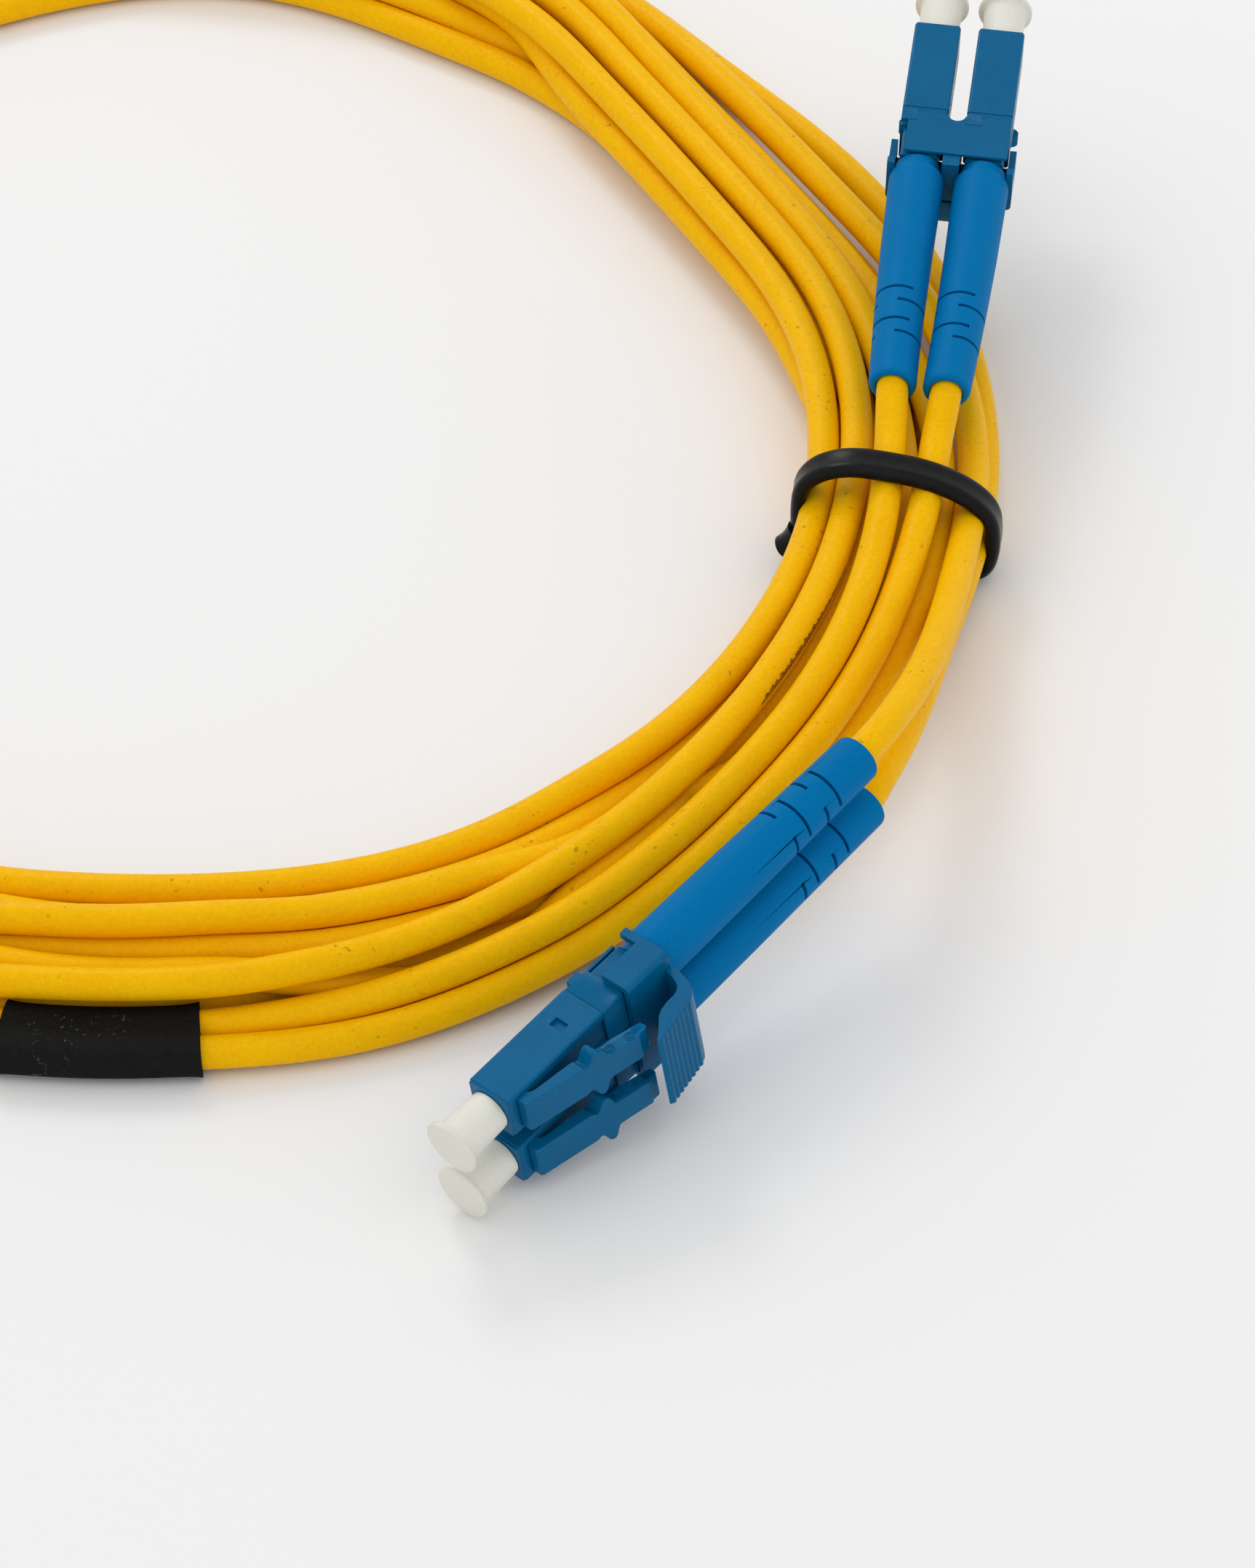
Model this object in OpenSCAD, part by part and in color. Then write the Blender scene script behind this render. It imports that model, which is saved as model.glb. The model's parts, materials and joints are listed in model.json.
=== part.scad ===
// Duplex fibre optic patch cord: two LC plugs in a clip on each end of a two-leg
// cable, wound in a flat ring and held by a twist tie. Millimetres, +Z up, the
// origin under the middle of the whole cord, on the surface it lies on.
//
// A plug is drawn in its own frame: the front face of its nose is at x = 0, +X is
// the way the nose points, +Y runs from plug 1 to plug 2 of the clip, and +Z is
// the latch side.

/* [Plug] */
// Distance between the two plugs of a clip
pitch = 6.25; // [6.25:0.05:6.5]
// Width and height of the square nose
nose_w = 4.5; // [4.4:0.02:4.52]
// Length of the front housing
nose_len = 12; // [11.5:0.1:12.4]
// Ferrule diameter
ferrule_d = 1.25; // [1.24:0.01:1.26]
// How far the ferrule stands out of the nose
ferrule_out = 2; // [1.5:0.1:2.2]
// How far the ferrule gives way against its spring
ferrule_travel = 1; // [0.6:0.1:1]

/* [Dust cap] */
// Length of a cap in front of the nose
cap_len = 5.2; // [4.6:0.1:6]
// Diameter of the cap's end flange
cap_flange_d = 5.3; // [4.8:0.1:5.6]

/* [Boot] */
// Distance from the nose's front face to the end of the boot
boot_end = 47.6; // [44:0.2:52]
// Boot diameter at the clip
boot_d = 5.3; // [5.1:0.05:5.4]
// Boot diameter at its tail
boot_tail_d = 4.5; // [4.3:0.05:4.8]

/* [Clip] */
// Length of the duplex clip
clip_len = 5.1; // [4.8:0.1:5.4]
// Outside width of the clip over both plugs
clip_w = 12.15; // [11.8:0.05:12.4]
// Width of the trigger over both latches
trigger_w = 8.7; // [7.5:0.1:9.4]
// Number of grip ridges on the trigger
ridges = 8; // [5:1:10]

/* [Cable] */
// Diameter of one leg of the cable
cable_d = 3; // [2.8:0.1:3]
// Radius of the wound ring's round side, at the middle of the bundle
coil_r = 68; // [67.5:0.1:68.5]
// Width of the bundle
coil_w = 19.4; // [18.6:0.1:20]
// Height of the bundle
coil_h = 9; // [8.5:0.1:9.5]
// Length of a heat-shrink sleeve
sleeve_len = 16.5; // [12:0.5:20]

/* [Hidden] */
$fn = 48;
gap = 0.05;

// where the two connectors lie, measured from the middle of the ring
coil_at = [-1.63, -6.05, 0];
pos_a = [28, -89.1, 9.6];
turn_a = [-90, 8.6, -134];
pos_b = [74.1, 46, 18.8];
turn_b = [183.6, -6.7, 80.4];

// nose and what is inside it
nose_edge = 0.25;
mouth_r = 1.6;
mouth_depth = 5;
web_back = 5.8;
web_r = 0.75;
cavity_r = 1.7;
window = [0.9, 1.4, 0.35];
window_x = -8.9;
ferrule_back = -6.6;
flange_r = 1.5;
flange_x = [-7.1, -5.9];
barrel_r = 0.88;
barrel_back = -8.8;
buffer_r = 0.45;
buffer_back = -21.2;
spring_r = 1.2;
spring_wire = 0.16;
spring_x = [-11.2, -8.3];
spring_turns = 5;
spring_steps = 12;

// rear body, crimp and boot
cup_front = -9.4;
cup_r = 1.66;
cup_bore = 1.42;
cup_floor = -11.4;
rear_back = -18.4;
rear_half = [2.2, 1.85];
neck_back = -22.2;
neck_r = 1.5;
through_r = 0.6;
ring_r = 1.95;
ring_x = [-24.6, -18.6];
cable_start = -22.4;
boot_front = -19.8;
boot_neck_r = 2.2;
boot_bore = 1.6;
boot_tail_edge = 0.5;
slit_w = 0.3;
slit_arc = 125;
slit_x = [-42.4, -40.7, -38.3, -36.6];

// latch: its hinge line and its side outline
latch_hinge = [-1.75, 2.6];
latch_knuckle = 0.5;
latch_w = 3.5;
latch_rear_w = 2.8;
latch_ear_w = 5.5;
latch_ear = [-8.1, 4.35];
latch_ear_r = 0.62;
latch_front = [[-1.15, 2.4], [-1.15, 3.1], [-1.3, 3.25], [-6.9, 4.5], [-7.4, 4.85], [-9, 5.15],
               [-9, 3.95], [-7.4, 3.6], [-4.4, 3], [-2.5, 2.8], [-2.3, 2.4]];
latch_rear = [[-8.9, 3.95], [-8.9, 5.15], [-12.4, 5.95], [-12.6, 5.75], [-13.5, 5.7],
              [-13.6, 5.5], [-13.5, 4.95], [-12.4, 4.7]];

// clip and trigger
clip_front = -14.6;
clip_back = clip_front - clip_len;
clip_top = 2.9;
clip_in = 2.3;
clip_wall_low = -0.1;
clip_web_low = -2.3;
strap_len = 0.8;
strap_low = -1.9;
clip_edge = 0.35;
trigger_hinge = [-19.45, 2.95];
trigger_knuckle = 0.4;
trigger_inner = [[-13, 7.35], [-14.2, 6.65], [-15, 5.85], [-15.7, 5.5], [-16.6, 5.35],
                 [-17.6, 5.4], [-18.5, 5.1], [-18.85, 4.5], [-19.1, 3.7], [-19.2, 3]];
trigger_outer = [[-19.75, 3], [-19.7, 3.9], [-19.5, 4.7], [-19.3, 5.4], [-18.95, 6], [-18.4, 6.5]];
ridge_from = [-18.1, 6.6];
ridge_to = [-13.15, 7.55];
ridge_h = 0.12;

// ring, sleeves and tie
coil_corner = 2;
coil_straight = 40;
coil_step = 9;
coil_top_r = 56;
coil_side_r = 110;
straight_turn = 28;
sleeve_out = 3.7;
sleeve_z = 1.9;
sleeve_wall = 0.35;
sleeve_a_from = 60;
sleeve_b_from = -101.6;
pocket = 0.1;
leg_web = 0.015;
tie_turn = -9.6;
tie_t = 1.3;
tie_w = 3.8;
tie_inner = [[58.2, 1.4], [57.8, 2.4], [57.7, 7.3], [58.2, 9.2], [60.4, 10.9], [63, 11.6], [66, 11.5],
             [70, 10.9], [73, 9.7], [75.8, 7.6], [76.5, 6], [76.5, 2.4], [75.9, 1.4]];
tie_tail_at = [56.4, 2.6];
tie_tail_len = 3;
tie_tail_r = 0.85;

// free stretches of the four legs, from boot tail to ring, measured from its middle
way_a1 = [[63.7, -52.1, 17.1], [66.8, -45.1, 15.8], [69.0, -36.7, 12.6], [69.9, -29.7, 9.6], [70, -24, 7.8],
          [69.5, -19, 6.2]];
way_a2 = [[63.2, -52.1, 10.8], [65.6, -47.1, 10], [68, -39.3, 8.2], [70, -33.6, 6], [71.2, -28, 4.5],
          [70.6, -21, 3.6]];
way_b1 = [[65.85, -2.8, 12.9], [65.2, -7, 10.6], [64.6, -11, 9.3], [63.2, -18.5, 8.9], [60, -28, 7.8],
          [55, -37.5, 5.6]];
way_b2 = [[71.9, -4, 12.3], [70.7, -8.2, 9.4], [69.6, -11.8, 8.4], [66.8, -20, 8.2], [62.8, -30.5, 7.2],
          [57.8, -39.5, 5.6]];

// the ring is three arcs and a straight, each tangent to the next: the round side about
// [0, 0], the straight, the tight top and the long flat side
straight_from = coil_r * [cos(straight_turn), sin(straight_turn)];
straight_to = straight_from + coil_straight * [-sin(straight_turn), cos(straight_turn)];
top_at = straight_to - coil_top_r * [cos(straight_turn), sin(straight_turn)];
reach = coil_side_r - coil_r;
spread = norm(top_at);
side_lean = acos((reach ^ 2 + spread ^ 2 - (coil_side_r - coil_top_r) ^ 2) / (2 * reach * spread));
side_turn = atan2(top_at.y, top_at.x) - side_lean;
side_at = reach * [cos(side_turn), sin(side_turn)];
top_end = atan2(top_at.y - side_at.y, top_at.x - side_at.x);

function unit(v) = v / norm(v);
function turned(p, a) =
  let (x = [p.x, p.y * cos(a.x) - p.z * sin(a.x), p.y * sin(a.x) + p.z * cos(a.x)])
  let (y = [x.x * cos(a.y) + x.z * sin(a.y), x.y, x.z * cos(a.y) - x.x * sin(a.y)])
  [y.x * cos(a.z) - y.y * sin(a.z), y.x * sin(a.z) + y.y * cos(a.z), y.z];
function leg_in(pos, turn, y) = [for (x = [cable_start, -31, -39.5, -boot_end]) pos + turned([x, y, 0], turn)];
function along(p, k) = unit(p[min(k + 1, len(p) - 1)] - p[max(k - 1, 0)]);
function around(c, u, v, r, sides) =
  [for (k = [0:sides - 1]) c + r * (cos(360 * k / sides) * u + sin(360 * k / sides) * v)];

// one tube through a list of rings, each a list of points, that is capped or runs into itself
module skin(rings, loop = false) {
  n = len(rings[0]);
  m = len(rings);
  sides = [for (i = [0:m - (loop ? 1 : 2)], k = [0:n - 1])
    let (a = i * n, b = (i + 1) % m * n, next = (k + 1) % n)
    [a + k, a + next, b + next, b + k]];
  front = [for (k = [0:n - 1]) n - 1 - k];
  back = [for (k = [0:n - 1]) (m - 1) * n + k];
  polyhedron(points = [for (r = rings) each r], faces = concat(sides, loop ? [] : [front, back]));
}

// round tube of a cable leg through the points of its route
module leg(route) {
  skin([for (k = [0:len(route) - 1])
    let (t = along(route, k), u = unit(cross([0, 0, 1], t)), v = cross(u, t))
    around(route[k], u, v, cable_d / 2, 8)]);
}

module across_x(x0, x1) {
  translate([x0, 0, 0])
    rotate([90, 0, 90])
      linear_extrude(x1 - x0)
        children();
}

module across_y(half) {
  translate([0, half, 0])
    rotate([90, 0, 0])
      linear_extrude(2 * half)
        children();
}

module rod(r, x0, x1) {
  translate([x0, 0, 0])
    rotate([0, 90, 0])
      cylinder(r = r, h = x1 - x0);
}

// solid of revolution about the plug's own axis, from a list of [x, radius]
module turned_solid(outline) {
  rotate([0, 90, 0])
    rotate_extrude()
      polygon([for (p = outline) [p[1], p[0]]]);
}

// square with its four corners cut off
module cut_square(half, cut) {
  a = half - cut;
  polygon([[a, half], [-a, half], [-half, a], [-half, -a], [-a, -half], [a, -half], [half, -a], [half, a]]);
}

module dust_cap() {
  color("ivory")
    difference() {
      turned_solid([[-1.2, 0], [-1.2, 1.4], [-1.1, 1.5], [gap, 1.5], [gap, 1.9], [cap_len - 0.95, 2.1],
                    [cap_len - 0.6, 2.3], [cap_len - 0.55, cap_flange_d / 2 - 0.1],
                    [cap_len - 0.45, cap_flange_d / 2], [cap_len - 0.15, cap_flange_d / 2],
                    [cap_len - 0.02, cap_flange_d / 2 - 0.2], [cap_len + 0.05, 0]]);
      rod(ferrule_d / 2 + 0.03, -1.3, ferrule_out + 0.6);
    }
}

module housing() {
  half = nose_w / 2;
  color("teal")
    difference() {
      union() {
        across_x(-nose_len, -nose_edge)
          cut_square(half, nose_edge);
        across_x(-nose_edge, 0)
          cut_square(half - 0.12, nose_edge);
      }
      rod(mouth_r, -mouth_depth, 1);
      rod(web_r, -web_back - 0.1, 0);
      rod(cavity_r, -nose_len - 1, -web_back);
      translate([window_x - window.x / 2, -half - 1, -window.y / 2 + 0.07])
        cube([window.x, window.z + 1, window.y]);
      translate([latch_hinge.x, 0, latch_hinge.y])
        rotate([90, 0, 0])
          cylinder(r = latch_knuckle + 0.04, h = latch_w + 0.2, center = true);
      across_y(latch_w / 2 - 0.35)
        polygon([[-2.6, half + 0.1], [-6.5, half - 0.3], [-nose_len - 1, half - 0.3], [-nose_len - 1, half + 1],
                 [-2.6, half + 1]]);
    }
}

module latch() {
  color("teal") {
    across_y(latch_w / 2)
      polygon(latch_front);
    across_y(latch_rear_w / 2)
      polygon(latch_rear);
    translate([latch_ear.x, 0, latch_ear.y])
      rotate([90, 0, 0])
        cylinder(r = latch_ear_r, h = latch_ear_w, center = true);
    translate([latch_hinge.x, 0, latch_hinge.y])
      rotate([90, 0, 0])
        cylinder(r = latch_knuckle, h = latch_w, center = true);
  }
}

module ferrule() {
  color("white")
    difference() {
      turned_solid([[ferrule_back, 0], [ferrule_back, ferrule_d / 2], [ferrule_out - 0.2, ferrule_d / 2],
                    [ferrule_out - 0.05, ferrule_d / 2 - 0.15], [ferrule_out, 0.3], [ferrule_out, 0]]);
      rod(buffer_r, ferrule_back - 1, ferrule_back + 1);
    }
}

module flange() {
  color("lightgray")
    difference() {
      union() {
        rod(flange_r, flange_x[0], flange_x[1]);
        rod(barrel_r, barrel_back, flange_x[0]);
      }
      rod(ferrule_d / 2, ferrule_back, 0);
      rod(buffer_r, barrel_back - 1, ferrule_back);
      for (a = [45:90:315])
        rotate([a, 0, 0])
          translate([flange_x[0] - 1, 1.3, -0.25])
            cube([3, 1, 0.5]);
    }
}

module buffer() {
  color("white")
    rod(buffer_r, buffer_back, ferrule_back + 1);
}

module spring() {
  steps = spring_turns * spring_steps;
  rise = (spring_x[1] - spring_x[0] - 2 * spring_wire) / steps;
  color("silver")
    skin([for (k = [0:steps])
      let (a = 360 * k / spring_steps, out = [0, cos(a), sin(a)], x = spring_x[0] + spring_wire + rise * k)
      around([x, 0, 0] + spring_r * out, out, [1, 0, 0], spring_wire, 8)]);
}

module rear_body() {
  a = rear_half[0];
  b = rear_half[1];
  color("teal")
    difference() {
      union() {
        rod(cup_r, -nose_len - 1, cup_front);
        across_x(clip_front, -nose_len - gap)
          cut_square(a, nose_edge);
        across_x(rear_back, clip_front)
          cut_square(b, nose_edge);
        translate([-14.1, -a, -a - 0.35])
          cube([1.4, 1.5, 0.6]);
        rod(neck_r - 0.2, neck_back, rear_back + 1);
        for (x = [neck_back:0.95:rear_back - 0.5])
          rod(neck_r, x, x + 0.55);
      }
      rod(cup_bore, cup_floor, 0);
      rod(through_r, neck_back - 1, cup_floor + 0.1);
    }
}

module crimp_ring() {
  color("silver")
    difference() {
      rod(ring_r, ring_x[0], ring_x[1]);
      rod(neck_r + 0.02, ring_x[0] - 1, ring_x[1] + 1);
    }
}

// two opposite slits through the wall at one place along the boot
module slit_pair(x, turn) {
  for (side = [0, 180])
    translate([x - slit_w / 2, 0, 0])
      rotate([0, 90, 0])
        rotate([0, 0, turn + side - slit_arc / 2])
          rotate_extrude(angle = slit_arc)
            translate([boot_bore + 0.25, 0])
              square([2, slit_w]);
}

module boot() {
  tail_r = boot_tail_d / 2;
  color("royalblue")
    difference() {
      turned_solid([[-boot_end, 0], [-boot_end, tail_r - boot_tail_edge],
                    [-boot_end + 0.15, tail_r - 0.2], [-boot_end + boot_tail_edge, tail_r],
                    [boot_front - 0.2, boot_d / 2], [boot_front, boot_d / 2 - 0.15],
                    [boot_front, boot_neck_r], [rear_back - gap, boot_neck_r], [rear_back - gap, 0]]);
      rod(ring_r + gap, ring_x[0] - gap, 0);
      rod(boot_bore, -boot_end - 1, ring_x[0]);
      for (k = [0:len(slit_x) - 1])
        slit_pair(slit_x[k], k % 2 == 0 ? 0 : 90);
    }
}

module clip() {
  low = pitch / 2 - clip_w / 2;
  high = pitch / 2 + clip_w / 2;
  e = clip_edge;
  color("teal")
    difference() {
      union() {
        across_x(clip_back, clip_front)
          polygon([[low, clip_wall_low], [low, clip_top - e], [low + e, clip_top], [high - e, clip_top],
                   [high, clip_top - e], [high, clip_wall_low], [pitch + clip_in, clip_wall_low],
                   [pitch + clip_in, clip_in], [pitch - clip_in, clip_in], [pitch - clip_in, clip_web_low],
                   [clip_in, clip_web_low], [clip_in, clip_in], [-clip_in, clip_in],
                   [-clip_in, clip_wall_low]]);
        for (y = [low, pitch + clip_in])
          translate([clip_back, y, strap_low])
            cube([strap_len, -clip_in - low, clip_wall_low - strap_low]);
      }
      translate([0, pitch / 2, 0])
        translate([trigger_hinge.x, 0, trigger_hinge.y])
          rotate([90, 0, 0])
            cylinder(r = trigger_knuckle + 0.04, h = trigger_w + 0.2, center = true);
      translate([clip_front, pitch / 2, 0])
        cylinder(r = 0.7, h = 20, center = true);
      for (y = [0, pitch])
        translate([0, y, 0])
          rod(boot_d / 2 + 0.02, clip_back - 1, boot_front + 0.02);
    }
}

module trigger() {
  step = (ridge_to - ridge_from) / ridges;
  up = ridge_h * unit([-step.y, step.x]);
  comb = [for (k = [0:ridges - 1]) each [ridge_from + step * (k + 0.15), ridge_from + step * (k + 0.3) + up,
          ridge_from + step * (k + 0.7) + up, ridge_from + step * (k + 0.85)]];
  color("teal")
    translate([0, pitch / 2, 0]) {
      across_y(trigger_w / 2)
        polygon(concat(trigger_inner, trigger_outer, comb));
      translate([trigger_hinge.x, 0, trigger_hinge.y])
        rotate([90, 0, 0])
          cylinder(r = trigger_knuckle, h = trigger_w, center = true);
    }
}

// the two legs of the cable side by side, in section
module leg_pair(r) {
  for (side = [-1, 1])
    translate([side * cable_d / 2, 0])
      circle(r = r);
}

// bar of round-cornered section, standing off the middle of the bundle
module sleeve_form(extra) {
  r = cable_d / 2 + sleeve_wall + extra;
  translate([sleeve_out, sleeve_z]) {
    leg_pair(r);
    translate([-cable_d / 2, -r])
      square([cable_d, 2 * r]);
  }
}

// what is drawn beside the bundle's middle line, bent round at one radius for the sleeve's length
module sleeve_bend(r, from, extra) {
  turn = (sleeve_len + 2 * extra) / (r + sleeve_out) * 180 / PI;
  rotate([0, 0, from - extra])
    rotate_extrude(angle = turn, $fn = 96)
      translate([r, 0])
        children();
}

module sleeve(r, from) {
  color("dimgray")
    sleeve_bend(r, from, 0)
      difference() {
        sleeve_form(0);
        translate([sleeve_out, sleeve_z])
          leg_pair(cable_d / 2 + gap);
      }
}

module sleeve_pocket(r, from) {
  sleeve_bend(r, from, pocket)
    difference() {
      union() {
        sleeve_form(pocket);
        translate([sleeve_out, -1])
          square([10, sleeve_z + cable_d / 2 + sleeve_wall + pocket + 1]);
        translate([sleeve_out - cable_d / 2, -1])
          square([cable_d, 2]);
      }
      translate([sleeve_out, sleeve_z])
        leg_pair(cable_d / 2 + leg_web);
    }
}

// places along one arc of the ring, each [x, y, the way that faces outwards]
function arc_places(at, r, from, to) =
  let (n = ceil(r * (to - from) * PI / 180 / coil_step))
  [for (k = [0:n - 1]) let (a = from + (to - from) * k / n) [at.x + r * cos(a), at.y + r * sin(a), a]];

// the bundle round the whole ring, a section with its corners cut off
module bundle() {
  a = coil_w / 2;
  c = coil_corner;
  form = [[-a + c, 0], [a - c, 0], [a, c], [a, coil_h - c], [a - c, coil_h], [-a + c, coil_h],
          [-a, coil_h - c], [-a, c]];
  places = concat(arc_places([0, 0], coil_r, side_turn - 180, straight_turn),
                  [for (k = [0:3]) [each (straight_from + (straight_to - straight_from) * k / 4), straight_turn]],
                  arc_places(top_at, coil_top_r, straight_turn, top_end),
                  arc_places(side_at, coil_side_r, top_end, side_turn + 180));
  skin([for (p = places) [for (f = form) [p.x + f.x * cos(p.z), p.y + f.x * sin(p.z), f.y]]], loop = true);
}

module coil() {
  color("gold")
    difference() {
      bundle();
      rotate([0, 0, tie_turn])
        tie_form(tie_t + pocket, tie_w + 2 * pocket);
      translate(top_at)
        sleeve_pocket(coil_top_r, sleeve_a_from);
      sleeve_pocket(coil_r, sleeve_b_from);
    }
}

// flat band round the bundle, in the upright plane through the ring's axis
module tie_form(t, width) {
  rotate([90, 0, 0])
    translate([0, 0, -width / 2])
      linear_extrude(width)
        difference() {
          offset(r = t, $fn = 24)
            polygon(tie_inner);
          offset(r = tie_t - t)
            polygon(tie_inner);
        }
}

module twist_tie() {
  color("black")
    rotate([0, 0, tie_turn])
      tie_form(tie_t, tie_w);
}

module tie_tail() {
  color("black")
    rotate([0, 0, tie_turn])
      translate([tie_tail_at[0], 0, tie_tail_at[1]])
        rotate([0, -100, 0])
          cylinder(r = tie_tail_r, h = tie_tail_len);
}

// one sub-part of connector A or B, at plug 1 or 2
module on_a(k) {
  translate(coil_at + pos_a)
    rotate(turn_a)
      translate([0, (k - 1) * pitch, 0])
        children();
}

module on_b(k) {
  translate(coil_at + pos_b)
    rotate(turn_b)
      translate([0, (k - 1) * pitch, 0])
        children();
}

module lead(pos, turn, k, way) {
  color("gold")
    translate(coil_at)
      leg(concat(leg_in(pos, turn, (k - 1) * pitch), way));
}

on_a(1) dust_cap();  // dust_cap_a1
on_a(2) dust_cap();  // dust_cap_a2
on_b(1) dust_cap();  // dust_cap_b1
on_b(2) dust_cap();  // dust_cap_b2
on_a(1) housing();  // housing_a1
on_a(2) housing();  // housing_a2
on_b(1) housing();  // housing_b1
on_b(2) housing();  // housing_b2
on_a(1) latch();  // latch_a1
on_a(2) latch();  // latch_a2
on_b(1) latch();  // latch_b1
on_b(2) latch();  // latch_b2
on_a(1) ferrule();  // ferrule_a1
on_a(2) ferrule();  // ferrule_a2
on_b(1) ferrule();  // ferrule_b1
on_b(2) ferrule();  // ferrule_b2
on_a(1) flange();  // flange_a1
on_a(2) flange();  // flange_a2
on_b(1) flange();  // flange_b1
on_b(2) flange();  // flange_b2
on_a(1) buffer();  // buffer_a1
on_a(2) buffer();  // buffer_a2
on_b(1) buffer();  // buffer_b1
on_b(2) buffer();  // buffer_b2
on_a(1) spring();  // spring_a1
on_a(2) spring();  // spring_a2
on_b(1) spring();  // spring_b1
on_b(2) spring();  // spring_b2
on_a(1) rear_body();  // rear_body_a1
on_a(2) rear_body();  // rear_body_a2
on_b(1) rear_body();  // rear_body_b1
on_b(2) rear_body();  // rear_body_b2
on_a(1) crimp_ring();  // crimp_ring_a1
on_a(2) crimp_ring();  // crimp_ring_a2
on_b(1) crimp_ring();  // crimp_ring_b1
on_b(2) crimp_ring();  // crimp_ring_b2
on_a(1) boot();  // boot_a1
on_a(2) boot();  // boot_a2
on_b(1) boot();  // boot_b1
on_b(2) boot();  // boot_b2
on_a(1) clip();  // clip_a
on_b(1) clip();  // clip_b
on_a(1) trigger();  // trigger_a
on_b(1) trigger();  // trigger_b
lead(pos_a, turn_a, 1, way_a1);  // lead_a1
lead(pos_a, turn_a, 2, way_a2);  // lead_a2
lead(pos_b, turn_b, 1, way_b1);  // lead_b1
lead(pos_b, turn_b, 2, way_b2);  // lead_b2
translate(coil_at) coil();
translate(coil_at + [each top_at, 0]) sleeve(coil_top_r, sleeve_a_from);  // sleeve_a
translate(coil_at) sleeve(coil_r, sleeve_b_from);  // sleeve_b
translate(coil_at) twist_tie();
translate(coil_at) tie_tail();
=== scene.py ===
"""Duplex fibre patch cord: two LC plugs in a clip on each end of a two-leg cable that is wound in a ring."""

import math

import bmesh
import bpy
import numpy as np
from bpy.props import FloatProperty, FloatVectorProperty, IntProperty, PointerProperty
from bpy.types import Operator, Panel, PropertyGroup
from mathutils import Matrix, Vector
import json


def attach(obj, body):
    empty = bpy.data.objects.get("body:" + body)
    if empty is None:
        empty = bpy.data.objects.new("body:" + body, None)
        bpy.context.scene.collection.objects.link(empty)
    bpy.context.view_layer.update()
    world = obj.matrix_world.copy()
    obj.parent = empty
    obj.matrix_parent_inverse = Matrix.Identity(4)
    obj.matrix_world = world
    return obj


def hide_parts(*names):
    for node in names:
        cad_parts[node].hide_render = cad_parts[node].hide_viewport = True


bl_info = {
    "name": "Duplex fibre patch cord",
    "version": (1, 0, 0),
    "blender": (4, 5, 0),
    "location": "3D View > Sidebar > Patch Cord",
    "description": "Builds a wound duplex patch cord round its CAD frame",
    "category": "Object",
}

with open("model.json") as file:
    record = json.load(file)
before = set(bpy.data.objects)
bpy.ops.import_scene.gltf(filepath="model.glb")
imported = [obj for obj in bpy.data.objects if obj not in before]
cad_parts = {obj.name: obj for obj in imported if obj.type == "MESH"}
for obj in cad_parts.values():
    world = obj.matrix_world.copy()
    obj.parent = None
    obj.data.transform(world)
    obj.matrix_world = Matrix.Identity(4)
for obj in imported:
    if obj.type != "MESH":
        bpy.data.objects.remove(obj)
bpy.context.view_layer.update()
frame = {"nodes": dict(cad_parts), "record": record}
JOINTS = {j["name"]: j for j in frame["record"]["behaviour"]["joints"]}
MM = 0.001
ROOT = "cord"
ENDS = ("a", "b")
PLUGS = [end + k for end in ENDS for k in "12"]

# the plug's own measures, in millimetres, in the frame whose +X is the way the nose points
PITCH = 6.25
LATCH_HINGE = (-1.75, 0.0, 2.6)
HOUSING_LEN = 12.0
CLIP_FRONT = -14.6
CLIP_BACK = -19.7
BOOT_FRONT = -19.8
BOOT_END = -47.6
CABLE_START = -24.0
BOOT_BEND = 0.6

# the ring's middle, and the arcs and the straight that its bundle follows
RING_AT = Vector((-1.63, -6.05, 0.0))
ROUND_R = 68.0
STRAIGHT_TURN = 28.0
STRAIGHT_LEN = 40.0
TOP_R = 56.0
SIDE_R = 110.0
SEAM_TURN = -42.0


# ---------------------------------------------------------------- sizes and colours


class PatchCordSizes(PropertyGroup):
    """Sizes that a user would change"""

    cable: FloatProperty(
        name="Cable", description="Diameter of one leg of the cable", default=0.003, unit="LENGTH"
    )
    boot: FloatProperty(
        name="Boot", description="Diameter of a boot at the clip", default=0.0053, unit="LENGTH"
    )
    boot_tail: FloatProperty(
        name="Boot tail", description="Diameter of a boot at its tail", default=0.0045, unit="LENGTH"
    )
    cap_flange: FloatProperty(
        name="Cap flange", description="Diameter of a dust cap's end", default=0.0053, unit="LENGTH"
    )
    tie_wire: FloatProperty(
        name="Tie wire", description="Diameter of one wire of the tie", default=0.0019, unit="LENGTH"
    )
    turns: IntProperty(name="Turns", description="Whole turns of the cable", default=6)
    ridges: IntProperty(name="Ridges", description="Grip ridges on a trigger", default=8)


def colour(name, description, value):
    """A colour property with its default"""
    return FloatVectorProperty(
        name=name, description=description, subtype="COLOR", size=3, min=0, max=1, default=value
    )


class PatchCordColours(PropertyGroup):
    """Colours of the finishes"""

    jacket: colour("Jacket", "Cable jacket", (0.93, 0.52, 0.0))
    jacket_deep: colour("Jacket, deep", "Cable jacket where it is thicker", (0.85, 0.43, 0.0))
    housing: colour("Housing", "Moulded plug housing", (0.0, 0.125, 0.29))
    boot: colour("Boot", "Soft strain-relief boot", (0.0, 0.165, 0.42))
    cap: colour("Cap", "Dust cap", (0.78, 0.77, 0.70))
    tie: colour("Tie", "Coating of the tie", (0.003, 0.003, 0.0035))
    sleeve: colour("Sleeve", "Heat-shrink sleeve", (0.006, 0.006, 0.006))
    floor: colour("Floor", "Floor under the cord", (0.87, 0.87, 0.87))


# ---------------------------------------------------------------- mesh helpers


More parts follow.
